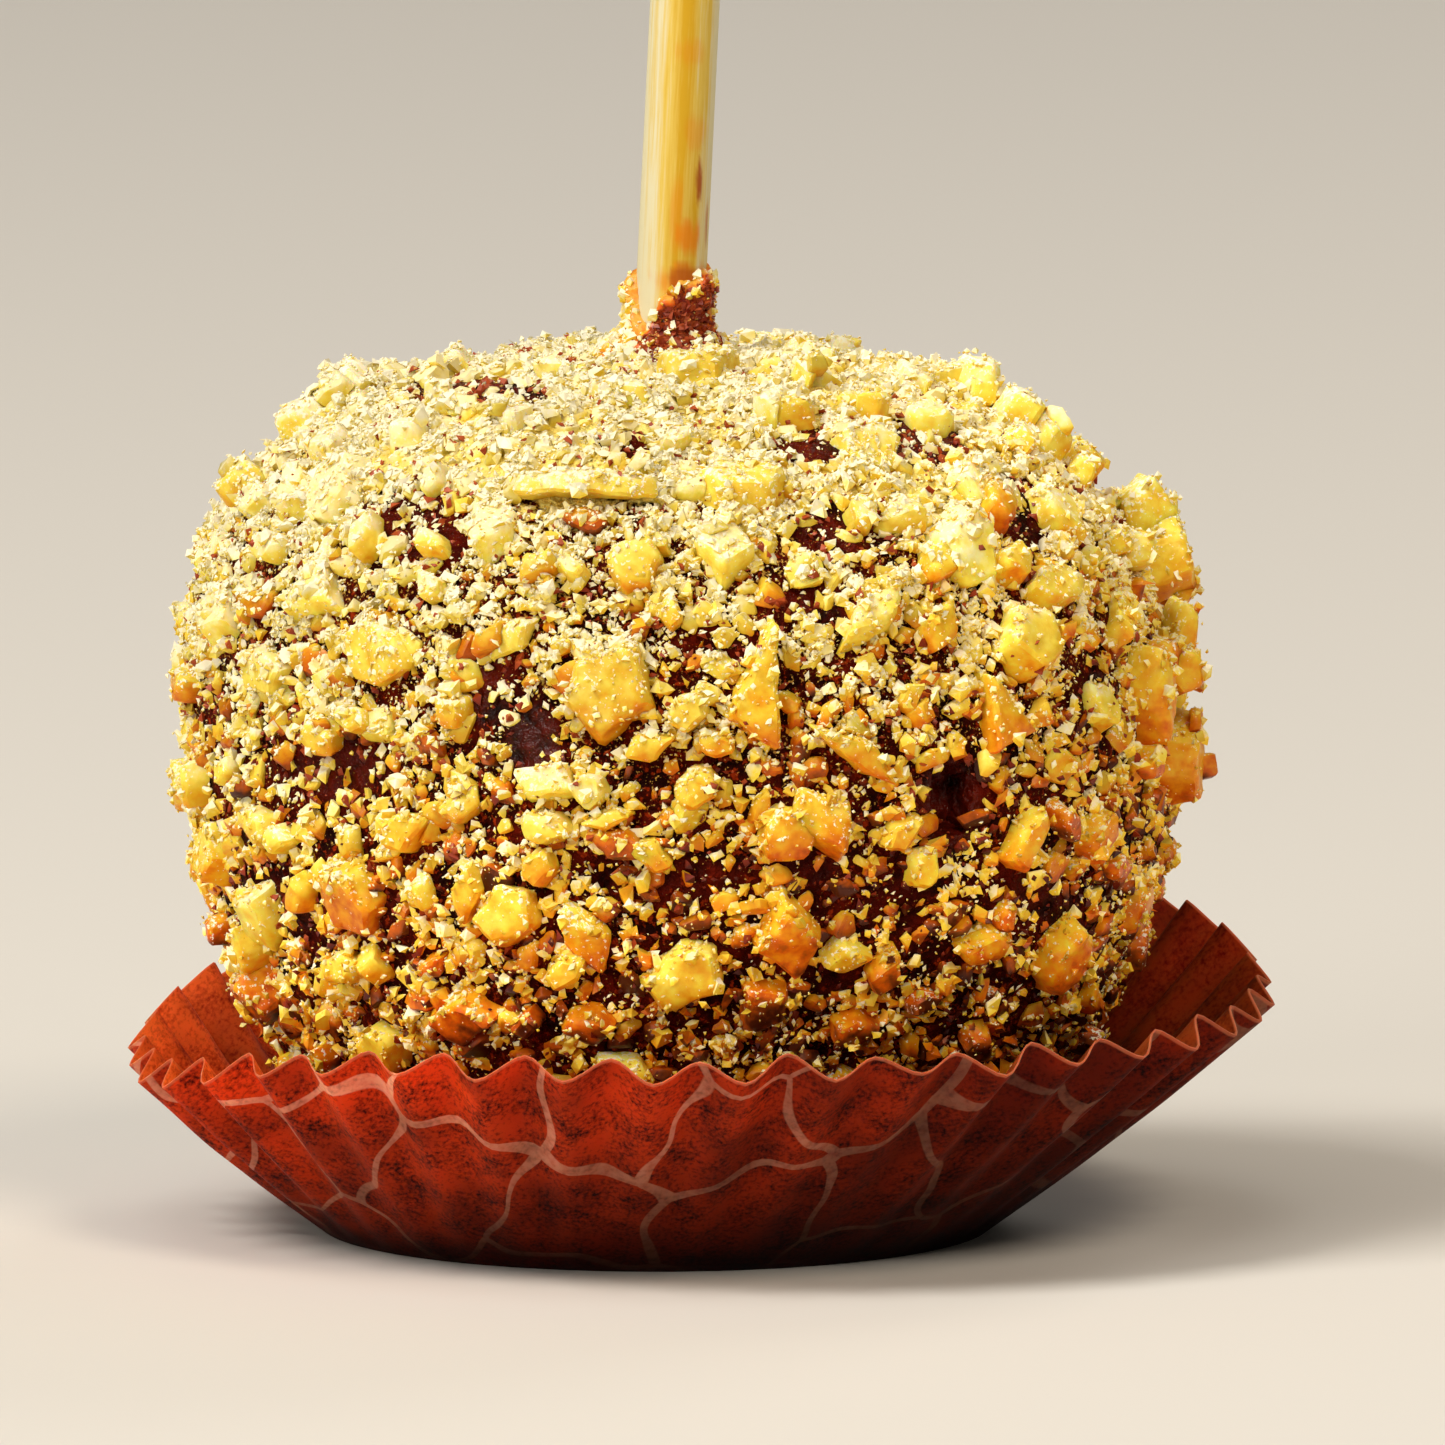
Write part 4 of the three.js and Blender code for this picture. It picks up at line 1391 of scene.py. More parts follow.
@dataclass
class Coat:
    """The chocolate coat of the apple, and how thickly toffee lies on each part of it."""

    form: AppleForm
    finish: DarkChocolate
    around: int = 380
    rings: int = 210
    inset: float = 0.9  # how far the bare coat lies under the mean surface of the crumbs
    # Depth, size and seed of each grade of the lumps, the bare patches and the clumps that toffee gathers in.
    lumps: tuple[tuple[float, float, float], ...] = ((0.5, 3.2, 11), (0.3, 1.2, 5))
    patches: tuple[tuple[float, float, float], ...] = ((1.0, 11.0, 31), (0.35, 4.0, 17))
    clumping: tuple[tuple[float, float, float], ...] = ((1.0, 3.6, 43), (0.6, 1.6, 47))
    patch_edge: tuple[float, float] = (0.22, 0.6)
    patch_bare: float = 0.8
    front_bare: float = 0.35  # share of that on the front, whose patches are placed one by one
    clump_edge: tuple[float, float] = (-0.25, 0.4)
    sugar_line: tuple[float, float] = (54.0, 73.0)  # fine sugar covers the coat from here to here up
    sugar_wander: float = 7.0
    powder_line: tuple[float, float] = (20.0, 70.0)  # powder is pressed in from here to here up
    crumb_line: tuple[float, float] = (40.0, 73.0)  # pale crumbs lie thicker from here to here up
    crumb_share: tuple[float, float] = (0.3, 2.6)
    lowest: tuple[float, float] = (4.0, 9.0)  # no toffee lies below here, all of it above here
    brown_line: tuple[float, float] = (70.0, 54.0)  # brown pieces are left out above here, all in below here; their darkness is partly painted shade
    stick_x: float = 1.1
    stick_clear: tuple[float, float] = (4.2, 7.5)  # crumbs thin out from here to here round the stick
    pit_x: float = 25.9
    pit_up: float = 36.5
    pit_wide: float = 3.2
    pit_high: float = 5.4
    pit_deep: float = 3.0
    body: MeshArrays = field(init=False)
    bare: np.ndarray = field(init=False)
    clumps: np.ndarray = field(init=False)
    normals: np.ndarray = field(init=False)

    def build(self) -> None:
        """Shapes the coat and works out where it is bare."""
        form = spun(self.form.profile(self.rings), self.around)
        for vertex in form.verts:
            vertex.co = self.form.uneven(vertex.co)
        form.normal_update()
        outward = np.array([v.normal[:] for v in form.verts])
        body = MeshArrays.of(form)
        points = body.vertices
        above_foot = eased(points[:, 2], self.form.base + 0.3, self.form.foot + 2)
        lumps = graded(points, self.lumps)
        x, up = points[:, 0], points[:, 2] * math.cos(VIEW_DROP) + points[:, 1] * math.sin(VIEW_DROP)
        front = points[:, 1] < 0
        in_pit = front & (abs(x - self.pit_x) < self.pit_wide / 2) & (abs(up - self.pit_up) < self.pit_high / 2)
        depth = (lumps - self.inset) * above_foot - self.pit_deep * in_pit
        body.vertices = points + outward * depth[:, None]
        bare = eased(graded(points, self.patches), *self.patch_edge) * self.patch_bare
        bare[front & (points[:, 2] < 70)] *= self.front_bare
        for patch in BARE_PATCHES:
            reach = ((x - patch.x) / patch.wide) ** 2 + ((up - patch.up) / patch.high) ** 2
            bare = np.maximum(bare, front * patch.bare * eased(reach, 1.7, 0.4))
        bare[in_pit] = 1
        self.body, self.bare, self.normals = body, bare, outward
        self.clumps = eased(graded(points, self.clumping), *self.clump_edge)
        sugared = 0.75 * eased(points[:, 2] + self.sugar_wander * rough(points, 7.0, 77), *self.sugar_line)
        for heap in HEAPS:
            away = np.linalg.norm(points - np.array(self.form.point(heap.latitude, math.radians(heap.angle))), axis=1)
            body.vertices += outward * (heap.high * eased(away, heap.wide, 0))[:, None]
        body.marks[:, 0] = bare
        body.marks[:, 1] = mix(0.5, 0.9, eased(points[:, 2], *self.powder_line)) * (1 - 0.6 * bare)
        body.marks[:, 2] = np.maximum(sugared, 0.38 * self.clumps) * (1 - 0.8 * bare)

    def sample(self, kind: ToffeeKind, look: np.random.Generator) -> tuple[np.ndarray, np.ndarray, np.ndarray]:
        """Picks places for a kind of toffee, thicker where the coat is covered.

        Args:
            kind: The kind.
            look: Draws the seeded numbers.

        Returns:
            Points, outward directions and marks.
        """
        corners, middle, sizes, _ = self.body.faces()
        first = self.body.triangles[:, 0]
        bare = self.bare[first]
        thick = mix(1 - bare, (0.2 + 2 * bare) * eased(bare, 0.96, 0.8), kind.bared)
        height = middle[:, 2]
        crumbs = mix(1.0, mix(*self.crumb_share, eased(height, *self.crumb_line)), kind.pale)
        clumps = mix(1.0, 0.1 + 2 * self.clumps[first], kind.clumped)
        off_stick = np.hypot(middle[:, 0] - self.stick_x, middle[:, 1]) + 40 * (height < self.form.waist)
        weight = sizes * thick * crumbs * clumps * eased(height, *self.lowest)
        weight *= eased(off_stick, *self.stick_clear)
        count = kind.count * (3 if kind.apart else 1)
        chosen = look.choice(len(weight), count, p=weight / weight.sum())
        share = np.sqrt(look.random((count, 1))), look.random((count, 1))
        a, b, c = (corners[chosen, i] for i in range(3))
        points = a + (b - a) * share[0] + (c - b) * share[0] * share[1]
        normals = self.normals[first[chosen]]
        if kind.apart:
            keep = spaced(points, kind.apart, kind.count)
            points, normals = points[keep], normals[keep]
        shade = mix(*kind.shade, look.random(len(points)) ** 0.7)
        boil = np.array([boil_and_painted_shade(Vector(p), look) for p in points]) * (1 - 1.15 * kind.pale)
        # Clear brown pieces low down, their darkness partly painted shade.
        brown = look.random(len(points)) < kind.brown * eased(points[:, 2], *self.brown_line)
        boil = np.clip(boil + 0.8 * np.maximum(0, 0.95 - shade) + 0.32 * brown, 0, 0.95)
        # Painted light: the brightness is raised low down and on the right.
        shade *= painted_light_gain(points)
        dust = look.uniform(*kind.dust, len(points)) * np.where(brown, 0.35, 1)
        return points, normals, np.stack([boil, dust, shade], axis=1)

    def piece(self) -> bpy.types.Object:
        """Returns the coat as a piece that stands for the coated apple."""
        coat = self.body.piece("chocolate_coat", Slot.TOFFEE_COAT, self.finish.material(), 60)
        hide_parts("coated_apple")
        return coat


def spaced(points: np.ndarray, apart: float, most: int) -> list[int]:
    """Keeps points that stand apart.

    Args:
        points: The candidates, in order of rank.
        apart: The least distance between two.
        most: How many to keep at most.

    Returns:
        The numbers of the kept ones.
    """
    kept: list[int] = []
    places = np.empty((most, 3))
    for i, point in enumerate(points):
        near = places[: len(kept)] - point
        if not len(kept) or (near * near).sum(axis=1).min() > apart * apart:
            places[len(kept)] = point
            kept.append(i)
            if len(kept) == most:
                break
    return kept


TOFFEE = ChoppedToffee()
NIBBED = replace(TOFFEE, name="Butter toffee, chopped small", clear=0.0, dust="#EDE5CA")
CRUMBED = ChoppedToffee(
    name="Butter toffee, crushed to crumbs",
    boil=((0.0, "#EDE7CA"), (0.12, "#EEE29A"), (0.28, "#EBCD3C"), (0.5, "#DFA31E"), (0.7, "#C46E14"), (1.0, "#5A2A0C")),
    dust="#EEE6CC",
    roughness=0.5,
    specular=0.12,
    clear=0.0,
    painted_under_deepening=0.18,
    painted_through_glow=1.12,
)
FLAKED = ChoppedToffee(
    name="Dark chocolate, flaked",
    boil=((0.0, "#A2441A"), (0.35, "#7C2408"), (0.65, "#480F03"), (1.0, "#220501")),
    dust="#D9A552",
    roughness=0.42,
    specular=0.3,
    clear=0.0,
)

RIM_CRUMBS = ToffeeKind(
    "rim_crumbs", CRUMBED, 0, 0.3, 1.1, 2.2, 0.0, Spread.TUMBLED, 0, 0.75, 131, 0.0, 1.0, build=Build.CRYSTAL
)
CLINGING_CRUMBS = replace(RIM_CRUMBS, name="clinging_crumbs", count=9500, smallest=0.26, largest=0.95, seed=137)
COLLAR_CRUMBS = ToffeeKind(
    "collar_crumbs", CRUMBED, 1500, 0.22, 1.2, 2.6, 0.0, Spread.TUMBLED, 0, 0.7, 57, 0.0, 1.0,
    build=Build.FLAKE, dust=(0.5, 0.5),
)
COLLAR_FLAKES = ToffeeKind(
    "collar_flakes", FLAKED, 900, 0.3, 1.0, 1.6, 0.0, Spread.TUMBLED, 0, 0.7, 59, 0.0, 1.0,
    build=Build.SPLINTER, dust=(0.0, 0.3), bared=1.0,
)

KINDS = (
    ToffeeKind(
        "toffee_chunks", TOFFEE, 200, 3.2, 5.4, 1.3, 0.2, Spread.FLAT, 2, 0.38, 61, 0.5, 0.0,
        apart=4.0, worn=0.05, finest=0.24, shade=(0.75, 1.04), dust=(0.1, 0.55), brown=0.2,
    ),
    ToffeeKind(
        "toffee_bits", NIBBED, 2800, 1.6, 3.8, 1.5, 0.2, Spread.TILTED, 1, 0.38, 71, 0.7, 0.08,
        apart=1.2, worn=0.05, finest=0.75, shade=(0.7, 1.04), dust=(0.05, 0.45), brown=0.36,
    ),
    ToffeeKind(
        "toffee_nibs", NIBBED, 6200, 0.9, 2.2, 1.6, 0.18, Spread.TILTED, 0, 0.42, 83, 0.8, 0.06,
        build=Build.FLAKE, forms=24, pale=0.25, shade=(0.75, 1.05), clumped=0.3, dust=(0.05, 0.45), brown=0.28,
    ),
    ToffeeKind(
        "chocolate_flakes", FLAKED, 7500, 0.3, 1.3, 1.7, 0.1, Spread.TILTED, 0, 0.6, 89, 0.8, 0.04,
        build=Build.SPLINTER, dust=(0.0, 0.35), shade=(0.9, 1.1), bared=0.5,
    ),
    ToffeeKind(
        "toffee_crumbs", CRUMBED, 13500, 0.5, 1.8, 1.8, 0.1, Spread.TILTED, 0, 0.4, 97, 1.0, 0.16,
        build=Build.FLAKE, forms=24, pale=0.55, clumped=0.85, shade=(0.84, 1.04),
    ),
    ToffeeKind(
        "sugar_crumbs", CRUMBED, 25000, 0.24, 0.85, 1.6, 0.05, Spread.TILTED, 0, 0.42, 101, 1.5, 0.24,
        build=Build.CRYSTAL, forms=24, pale=0.8, clumped=0.85, shade=(0.88, 1.03),
    ),
    ToffeeKind(
        "toffee_dust", CRUMBED, 22000, 0.14, 0.42, 1.2, 0.0, Spread.TUMBLED, 0, 0.9, 113, 2.0, 0.4,
        build=Build.SPLINTER, pale=0.6, clumped=0.5, shade=(0.85, 1.0),
    ),
)


@dataclass
class ToffeeCrust:
    """Everything that is stuck to the coat, largest first, each kind dropped onto what lies there."""

    coat: Coat
    kinds: tuple[ToffeeKind, ...] = KINDS
    smooth_below: float = 38.0  # edges of worn pieces that bend less than this many degrees are smooth
    patch_mm: float = 1.5  # size of the patches that clinging crumbs lie in
    jitter: float = 0.14  # how far they stray off the surface

    def build(self) -> list[bpy.types.Object]:
        """Makes the shards and every scattered kind.

        Returns:
            The pieces.
        """
        plan = Shards(self.coat.form)
        shards = plan.arrays()
        materials = {finish.name: finish.material() for finish in (TOFFEE, NIBBED, CRUMBED, FLAKED)}
        pieces = [shards.piece("toffee_shards", Slot.TOFFEE_COAT, materials[TOFFEE.name], self.smooth_below)]
        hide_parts("coated_apple")
        rims = plan.crumbs(np.random.default_rng(RIM_CRUMBS.seed))
        pieces.append(rims.piece(RIM_CRUMBS.name, Slot.TOFFEE_COAT, materials[CRUMBED.name]))
        under = MeshArrays.joined([self.coat.body, shards])
        large = [shards]
        for kind in self.kinds:
            scattered = kind.arrays(self.coat, under.tree())
            smooth_below = self.smooth_below if kind.worn else 0
            pieces.append(scattered.piece(kind.name, Slot.TOFFEE_COAT, materials[kind.finish.name], smooth_below))
            under = MeshArrays.joined([under, scattered])
            if kind.worn:
                large.append(scattered)
        clinging = self.clinging(MeshArrays.joined(large), CLINGING_CRUMBS)
        pieces.append(clinging.piece(CLINGING_CRUMBS.name, Slot.TOFFEE_COAT, materials[CRUMBED.name]))
        return pieces

    def clinging(self, body: MeshArrays, kind: ToffeeKind) -> MeshArrays:
        """Lays patches of crumbs on the dusted side of the larger pieces.

        Args:
            body: The larger pieces.
            kind: The kind of crumb.

        Returns:
            The crumbs, joined.
        """
        look = np.random.default_rng(kind.seed)
        _, middle, sizes, normals = body.faces()
        outward = middle - (self.coat.form.shift_x, 0, self.coat.form.waist)
        shows = (normals * outward).sum(axis=1) > 0.1 * np.linalg.norm(outward, axis=1)
        patches = 0.04 + eased(rough(middle, self.patch_mm, 53), -0.1, 0.25)
        turned = eased(normals @ LIT_AND_DUSTED_SIDE, 0.15, 0.95) * mix(1.0, 0.3, eased(middle[:, 2], 56, 70))
        weight = sizes * shows * patches * turned * eased(middle[:, 2], 8, 12)
        chosen, frames = kind.dealt(weight, normals, look)
        boil = np.array([0.55 * boil_and_painted_shade(Vector(p), look) for p in middle[chosen]])
        places = middle[chosen] + look.normal(0, self.jitter, (kind.count, 3))
        marks = np.stack([boil, look.uniform(0.2, 0.7, kind.count), look.uniform(0.9, 1.05, kind.count)], axis=1)
        return kind.strewn(frames, places, marks, look)


# ---- collar, stick and paper case -------------------------------------------------------------------


def round_from_front(points: np.ndarray) -> np.ndarray:
    """Returns how many degrees round from the front each point lies, the right being 90."""
    return np.degrees(np.arctan2(points[:, 0], -points[:, 1]))


@dataclass(frozen=True)
class Stain:
    """A stain on the stick: height above the crown, angle round it from the front, half sizes and strength."""

    height: float
    angle: float
    high: float
    wide: float
    soaked: float
    red: float


@dataclass
class Stick:
    """The round stick, down in the apple and leaning a little to the right."""

    finish: TurnedBirch
    radius: float = 3.0
    length: float = 114.0
    sunk: float = 50.0
    rounding: float = 0.5
    tilt: float = math.radians(2.8)
    entry_x: float = 1.1
    crown: float = 76.2
    ochre_front_at: float = 12.0  # the wood is most ochre at this angle round from the front
    ochre_front_wide: tuple[float, float] = (62.0, 12.0)  # and fades out from the second to the first beside it
    uneven: float = 0.006  # of its radius
    around: int = 72
    rows: int = 210
    stains: tuple[Stain, ...] = (
        Stain(10.1, 25, 1.7, 20, 0.85, 0.0),
        Stain(19.0, 30, 1.5, 20, 0.35, 0.0),
        Stain(26.0, 18, 1.2, 26, 0.3, 0.0),
        Stain(14.7, 41, 2.0, 5, 0.3, 0.8),
        Stain(11.0, 68, 2.4, 6, 0.4, 0.5),
        Stain(12.0, 2, 3.6, 9, 0.4, 0.0),
        Stain(6.2, 22, 1.3, 50, 0.7, 0.0),
        Stain(6.4, 26, 1.1, 34, 0.6, 0.6),
    )

    def placed(self) -> Matrix:
        """Returns the matrix that lays what is made about the stick's axis, crown at z = 0, on the apple."""
        return Matrix.Translation((self.entry_x, 0, self.crown)) @ Matrix.Rotation(self.tilt, 4, "Y")

    def build(self) -> bpy.types.Object:
        """Returns the stick."""
        bottom, top, edge = -self.sunk, self.length - self.sunk, self.rounding
        side = [mix(bottom + edge, top - edge, i / self.rows) for i in range(self.rows + 1)]
        profile = [(0.0, bottom), (self.radius - edge, bottom), (self.radius - 0.3 * edge, bottom + 0.3 * edge)]
        profile += [(self.radius, height) for height in side]
        profile += [(self.radius - 0.3 * edge, top - 0.3 * edge), (self.radius - edge, top), (0.0, top)]
        form = spun(profile, self.around)
        arrays = MeshArrays.of(form)
        points = arrays.vertices
        angle = round_from_front(points)
        for stain in self.stains:
            reach = ((points[:, 2] - stain.height) / stain.high) ** 2 + ((angle - stain.angle) / stain.wide) ** 2
            ragged = reach + 1.1 * rough(points * (1, 1, 0.16), 0.6, stain.height)
            mark = eased(ragged, 1.5, 0.3)
            arrays.marks[:, 0] = np.maximum(arrays.marks[:, 0], stain.soaked * mark)
            arrays.marks[:, 1] = np.maximum(arrays.marks[:, 1], stain.red * mark)
        ochre_front = eased(abs((angle - self.ochre_front_at + 180) % 360 - 180), *self.ochre_front_wide)
        arrays.marks[:, 2] = np.clip(ochre_front + 0.5 * rough(points * (1, 1, 0.03), 1.4, 6), 0, 1)
        uneven = 1 + self.uneven * rough(points * (1, 1, 0.08), 1.2, 3)
        points[:, :2] *= uneven[:, None]
        arrays.move(self.placed())
        piece = arrays.piece("birch_stick", Slot.WOOD, self.finish.material(self.tilt), 50)
        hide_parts("stick")
        return piece


@dataclass
class Collar:
    """The caramel that climbs the stick's foot, lumpy, with chocolate smeared over its front."""

    stick: Stick
    finish: SoftCaramel
    around: int = 84
    outline: tuple[tuple[float, float], ...] = (
        (7.0, -3.0),
        (6.3, -1.2),
        (5.4, 0.2),
        (4.7, 0.9),
        (4.1, 1.6),
        (3.75, 3.0),
        (3.8, 4.6),
        (3.6, 5.8),
        (3.4, 7.0),
        (3.2, 7.8),
        (2.8, 8.2),
    )
    # The caramel's upper edge: how high it climbs at each angle round from the front.
    edge: tuple[tuple[float, float], ...] = (
        (-180, 6.2),
        (-110, 7.0),
        (-82, 6.6),
        (-58, 2.9),
        (-30, 2.5),
        (-14, 4.6),
        (10, 6.0),
        (45, 6.2),
        (66, 7.4),
        (88, 7.6),
        (130, 6.6),
        (180, 6.2),
    )
    # Depth, as a share of the radius, with size and seed of each grade of its lumps.
    lumps: tuple[tuple[float, float, float], ...] = ((0.09, 2.2, 8), (0.05, 0.9, 4))
    knobs: tuple[tuple[float, float], ...] = ((72.0, 5.4), (-78.0, 5.0))  # angle and height of each swelling
    crumbed_from: float = -1.5  # crumbs stick to it from here
    crumbed_to: float = 7.4  # to here above the crown

    def build(self) -> list[bpy.types.Object]:
        """Returns the collar and the crumbs on it."""
        profile = [(0.0, self.outline[0][1]), *self.outline, (0.0, self.outline[-1][1])]
        fine = []
        for (r0, z0), (r1, z1) in zip(profile, profile[1:]):
            fine += [(mix(r0, r1, k / 5), mix(z0, z1, k / 5)) for k in range(5)]
        arrays = MeshArrays.of(spun(fine + [profile[-1]], self.around))
        points = arrays.vertices
        angle = round_from_front(points)
        lumps = graded(points, self.lumps)
        for side, height in self.knobs:
            lumps += 0.12 * eased(abs(angle - side), 40, 8) * eased(abs(points[:, 2] - height), 1.8, 0.4)
        points[:, :2] *= (1 + lumps)[:, None]
        climb = np.interp(angle, *zip(*self.edge)) + 1.1 * rough(points * (1, 1, 0.1), 1.0, 21)
        radius = np.maximum(np.hypot(points[:, 0], points[:, 1]), 1e-6)
        bare = eased(points[:, 2] - climb, -0.5, 0.3)
        points[:, :2] *= mix(1.0, np.minimum(1.0, 2.7 / radius), bare)[:, None]
        front = eased(abs(angle - 16), 84, 26) * eased(points[:, 2] - climb, 0.4, -2.2)
        arrays.marks[:, 0] = np.clip(front + 0.5 * rough(points, 1.2, 2), 0.0, 1)
        arrays.move(self.stick.placed())
        collar = arrays.piece("caramel_collar", Slot.TOFFEE_COAT, self.finish.material(), 60)
        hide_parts("coated_apple")
        return [collar, self.crumbed(arrays, COLLAR_CRUMBS, 0.12), self.crumbed(arrays, COLLAR_FLAKES, 0.24)]

    def crumbed(self, body: MeshArrays, kind: ToffeeKind, boil: float) -> bpy.types.Object:
        """Scatters crumbs over the collar, or chocolate flakes over its smeared front.

        Args:
            body: The collar.
            kind: The kind of crumb.
            boil: How dark the crumbs are.

        Returns:
            The piece.
        """
        look = np.random.default_rng(kind.seed)
        _, middle, sizes, normals = body.faces()
        dark = body.marks[body.triangles[:, 0], 0]
        above = middle[:, 2] - self.stick.crown
        off_axis = np.hypot(middle[:, 0] - self.stick.entry_x, middle[:, 1])
        stuck = (off_axis > self.stick.radius + 0.25) & (above > self.crumbed_from) & (above < self.crumbed_to)
        left = middle[:, 0] < self.stick.entry_x - self.stick.radius
        light = (1 - 0.7 * dark) * (0.5 + 2.4 * eased(above, 2.0, 0.4) + 0.9 * left)
        weight = sizes * stuck * mix(light, dark**2, kind.bared)
        chosen, frames = kind.dealt(weight, normals, look)
        darkness = np.clip(look.normal(boil, 0.12, kind.count), 0, 1)
        dust, shade = (look.uniform(*ends, kind.count) for ends in (kind.dust, kind.shade))
        joined = kind.strewn(frames, middle[chosen], np.stack([darkness, dust, shade], axis=1), look)
        return joined.piece(kind.name, Slot.TOFFEE_COAT, bpy.data.materials[kind.finish.name])


@dataclass
class PaperCase:
    """The fluted case: a flat base and a flared wall folded into flutes, printed on its outer side."""

    outer: GlassinePaper
    inner: GlassinePaper
    thickness: float = 0.14
    base_radius: float = 29.0
    rim_radius: float = 48.8
    rim_height: float = 20.0
    shift_x: float = 3.9
    flutes: int = 40
    flute_depth: float = 0.85
    uneven: float = 0.35
    flare: float = 1.12
    belly: float = 0.8
    rows: int = 26
    columns: int = 5  # from one fold to the next
    rounded: float = 0.85  # how round a flute is, from 0 for flat sides
    ripple: float = 0.25
    ripple_mm: float = 7.0
    smooth_below: float = 50.0
    lifts: tuple[tuple[float, float, float], ...] = ((5.0, 38.0, 30.0), (-5.0, 190.0, 32.0))

    def depths(self) -> list[float]:
        """Returns how far each fold stands out of the wall at the rim, inward ones below zero."""
        draw = seeded_draw(self.flutes)
        return [
            (1 if i % 2 else -1) * self.flute_depth * (1 + self.uneven * (2 * draw() - 1))
            for i in range(2 * self.flutes)
        ]

    def rim_lift(self, angle: float) -> float:
        """Returns how far the rim is lifted out of level in a direction, in radians from +X."""
        total = 0.0
        for lift, at, width in self.lifts:
            turn = (math.degrees(angle) - at + 180) % 360 - 180
            total += lift * math.exp(-((turn / width) ** 2))
        return total

    def wall(self, share: float) -> tuple[float, float]:
        """Returns radius and height of the unfolded wall at a share of the way up it."""
        radius = mix(self.base_radius, self.rim_radius, share)
        return radius, self.rim_height * share - self.belly * math.sin(math.pi * share)

    def build(self) -> bpy.types.Object:
        """Returns the paper case."""
        shares = [i / self.rows for i in range(self.rows + 1)]
        ring = [self.base_radius * share for share in (0, 0.3, 0.6, 0.8, 0.92)]
        outside = [(radius, 0.0) for radius in ring] + [self.wall(share) for share in shares]
        inside = [(radius - 0.7 * self.thickness, height + 0.7 * self.thickness) for radius, height in outside[5:]]
        inside = [(radius, self.thickness) for radius in ring] + inside
        form = spun(outside + inside[::-1], 2 * self.flutes * self.columns)
        self.lay_flat(form)
        depths, folds = self.depths(), 2 * self.flutes
        for vertex in form.verts:
            radius = math.hypot(vertex.co.x, vertex.co.y)
            angle = math.atan2(vertex.co.y, vertex.co.x)
            share = max(0.0, min(1.0, (radius - self.base_radius) / (self.rim_radius - self.base_radius)))
            place = (angle / math.tau * folds) % folds
            before, part = int(place) % folds, place - int(place)
            crease = 0.5 - 0.5 * math.cos(math.pi * part)
            bend = mix(part, crease, self.rounded)
            out = mix(depths[before], depths[(before + 1) % folds], bend) * share
            ripple = self.ripple * share * noise.noise(vertex.co / self.ripple_mm)
            lifted = share * (self.rim_lift(angle) - self.flare * out)
            reach = radius + out + ripple
            x, y = reach * math.cos(angle) + self.shift_x * share, reach * math.sin(angle)
            vertex.co = Vector((x, y, vertex.co.z + lifted))
        mesh = bpy.data.meshes.new("paper_case_fluted")
        bmesh.ops.scale(form, vec=(MM, MM, MM), verts=form.verts[:])
        form.to_mesh(mesh)
        form.free()
        mesh.materials.append(self.outer.material())
        mesh.materials.append(self.inner.material())
        mesh.polygons.foreach_set("use_smooth", np.ones(len(mesh.polygons), bool))
        mesh.set_sharp_from_angle(angle=math.radians(self.smooth_below))
        piece = riding(bpy.data.objects.new("pleated_case", mesh), Slot.PAPER)
        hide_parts("paper_case")
        return piece

    def lay_flat(self, form: bmesh.types.BMesh) -> None:
        """Gives the sheet its flat UV map in millimetres and its inner side the unprinted finish.

        Args:
            form: The unfolded case.
        """
        flat = form.loops.layers.uv.new("flat")
        for face in form.faces:
            middle = face.calc_center_median()
            outward = Vector((middle.x, middle.y, 0)).normalized()
            steep = math.hypot(middle.x, middle.y) > self.base_radius
            inner = face.normal.dot(outward) < 0 if steep else face.normal.z > 0
            face.material_index = 1 if inner else 0
            for loop in face.loops:
                point = loop.vert.co
                radius = math.hypot(point.x, point.y)
                slant = math.hypot(1, self.rim_height / (self.rim_radius - self.base_radius))
                spread = min(radius, self.base_radius) + max(0.0, radius - self.base_radius) * slant
                share = spread / max(radius, 1e-6)
                loop[flat].uv = (point.x * share, point.y * share)


# ---- studio -----------------------------------------------------------------------------------------


@dataclass(frozen=True)
class Lamp:
    """A soft square lamp that is aimed at the apple."""

    name: str
    place: tuple[float, float, float]
    size: float
    power: float
    colour: str = "#FFFFFF"

    def build(self, aim: Vector) -> None:
        """Sets the lamp up.

        Args:
            aim: What it points at, in metres.
        """
        light = bpy.data.lights.new(self.name, "AREA")
        light.size, light.energy = self.size, self.power
        light.color = linear(self.colour)[:3]
        lamp = bpy.data.objects.new(self.name, light)
        lamp.location = self.place
        lamp.rotation_euler = (aim - Vector(self.place)).to_track_quat("-Z", "Y").to_euler()
        bpy.context.scene.collection.objects.link(lamp)


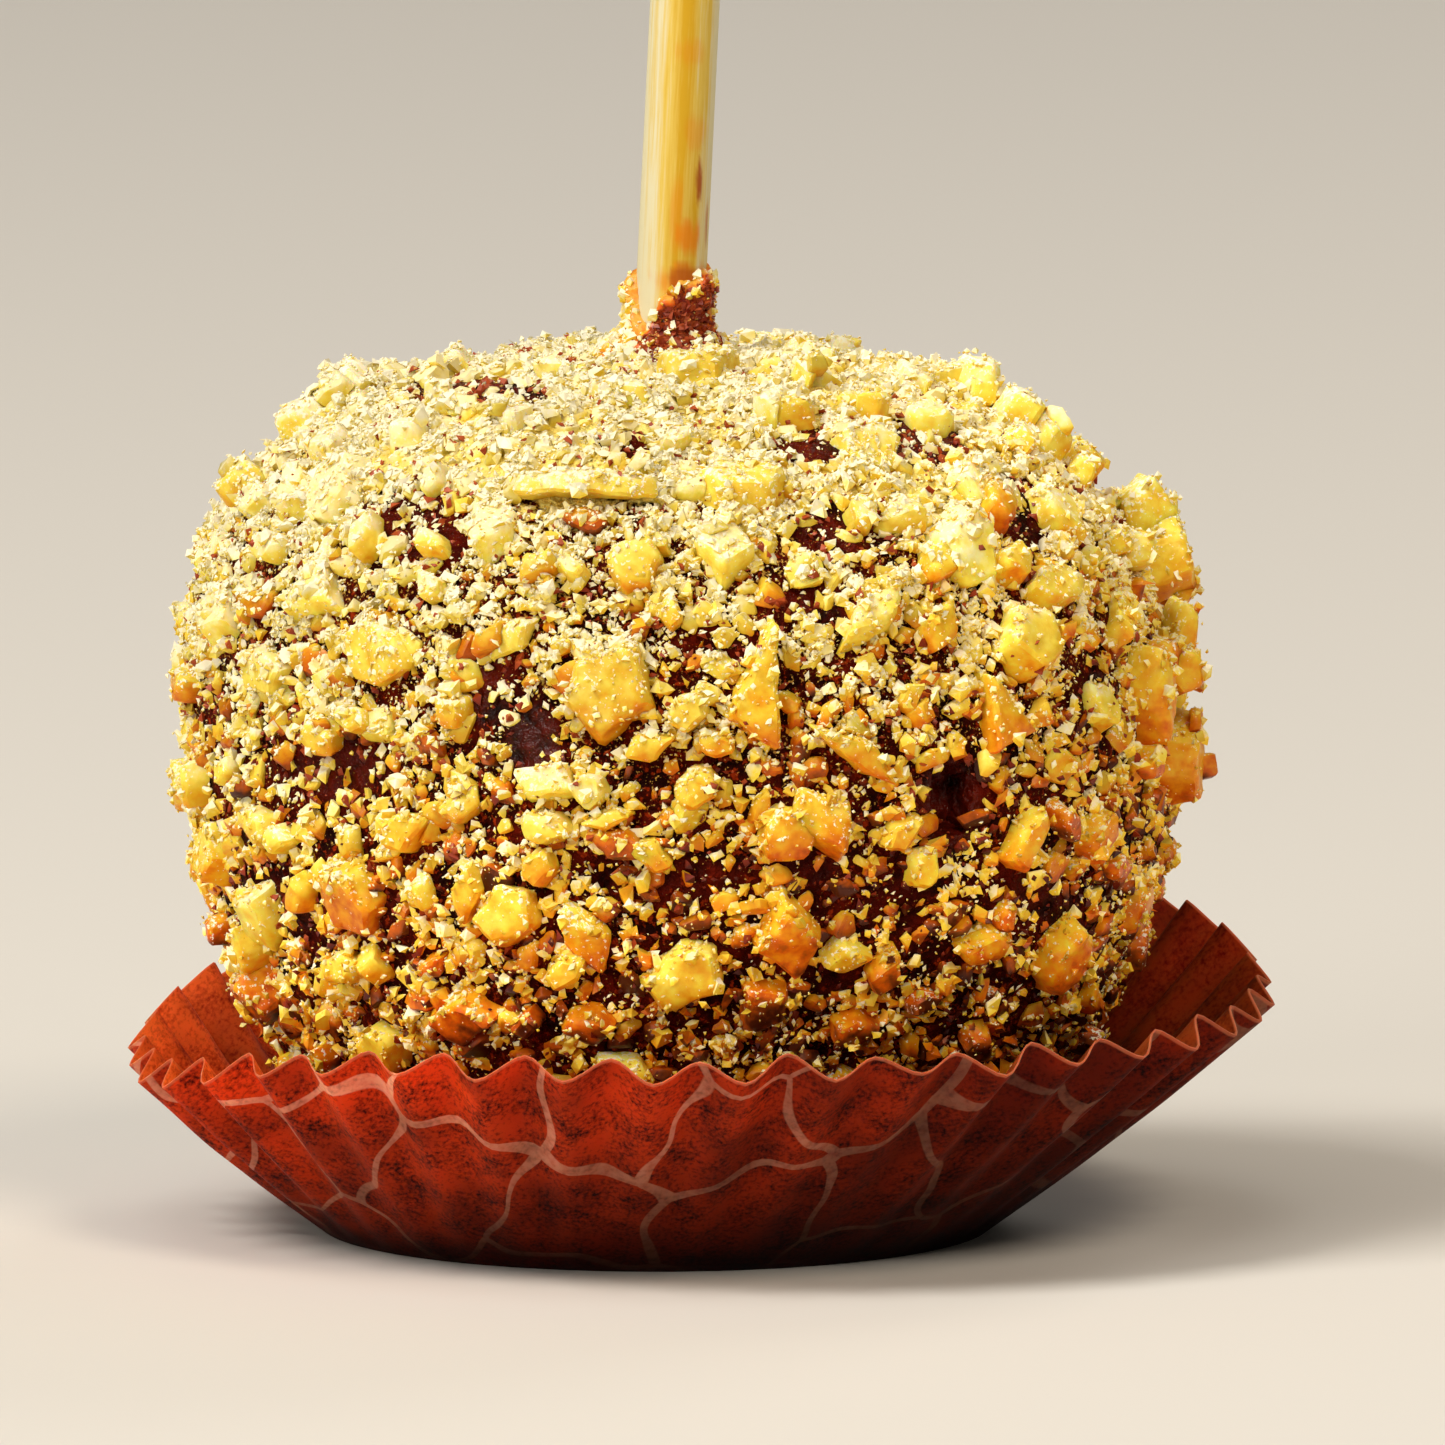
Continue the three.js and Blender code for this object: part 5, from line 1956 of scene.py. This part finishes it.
@dataclass
class Studio:
    """A pale floor, soft lamps and a long lens a little above level."""

    lens_mm: float = 600.0
    sensor_mm: float = 36.0
    frame_mm: float = 124.8
    floor_reach: float = 12.0
    aim: tuple[float, float, float] = (5.8 * MM, 0.0, 43.7 * MM)
    floor: PaleFloor = PaleFloor()
    lamps: tuple[Lamp, ...] = (
        Lamp("key_lamp", (-1.45, -0.9, 2.2), 0.9, 57.0, "#FFFBF4"),
        Lamp("top_lamp", (-0.4, -0.5, 2.6), 1.6, 15.0, "#FFFBF4"),
        Lamp("fill_lamp", (-1.7, -2.2, 0.8), 1.1, 28.0, "#FFF9F0"),
        Lamp("high_lamp", (1.1, -1.7, 2.1), 0.9, 33.0, "#FFEFD8"),
        Lamp("back_lamp", (1.2, 1.9, 1.5), 0.9, 10.0, "#FFF9F2"),
    )
    sky: str = "#C4BFB6"
    sky_strength: float = 0.16

    def build(self) -> None:
        """Sets up camera, floor, lamps and surroundings."""
        scene = bpy.context.scene
        aim = Vector(self.aim)
        camera = bpy.data.cameras.new("camera")
        camera.lens, camera.sensor_width = self.lens_mm, self.sensor_mm
        distance = self.frame_mm * MM * self.lens_mm / self.sensor_mm
        stand = bpy.data.objects.new("camera", camera)
        back = Vector((0, -math.cos(VIEW_DROP), math.sin(VIEW_DROP)))
        stand.location = aim + back * distance
        stand.rotation_euler = (-back).to_track_quat("-Z", "Y").to_euler()
        scene.collection.objects.link(stand)
        scene.camera = stand
        board = bmesh.new()
        bmesh.ops.create_grid(board, x_segments=2, y_segments=2, size=self.floor_reach)
        mesh = bpy.data.meshes.new("floor")
        board.to_mesh(mesh)
        board.free()
        mesh.materials.append(self.floor.material())
        floor = bpy.data.objects.new("floor", mesh)
        scene.collection.objects.link(floor)
        for lamp in self.lamps:
            lamp.build(aim)
        world = bpy.data.worlds.new("studio")
        world.use_nodes = True
        sky = world.node_tree.nodes["Background"]
        sky.inputs[0].default_value = linear(self.sky)
        sky.inputs[1].default_value = self.sky_strength
        scene.world = world
        scene.view_settings.view_transform = "Standard"


# ---- the whole --------------------------------------------------------------------------------------


def sections(coat: Coat) -> Iterator[tuple[str, Callable[[], object]]]:
    """Names each section of the object with the call that builds it.

    Args:
        coat: The chocolate coat.

    Yields:
        A name and a function.
    """
    stick = Stick(TurnedBirch())
    outer = GlassinePaper("Glassine paper, printed", "#320300", "#C4360B", "#CC7450", print_line="#E09474")
    # The bare side is lighter than the printed one: unprinted, and partly painted light where the lamps fall into the
    # case.
    inner = GlassinePaper("Glassine paper, bare side", "#8E2A0A", "#DC6226", "#E08A60")
    yield "coat", coat.piece
    yield "crust", ToffeeCrust(coat).build
    yield "stick", stick.build
    yield "collar", Collar(stick, SoftCaramel()).build
    yield "case", PaperCase(outer, inner).build


def main() -> None:
    """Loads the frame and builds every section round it."""
    logging.basicConfig(level=logging.INFO, format="%(name)s: %(message)s")
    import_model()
    coat = Coat(AppleForm(), DarkChocolate())
    coat.build()
    for name, build in sections(coat):
        build()
        log.info("built the %s", name)
    Studio().build()


if __name__ == "__main__":
    main()
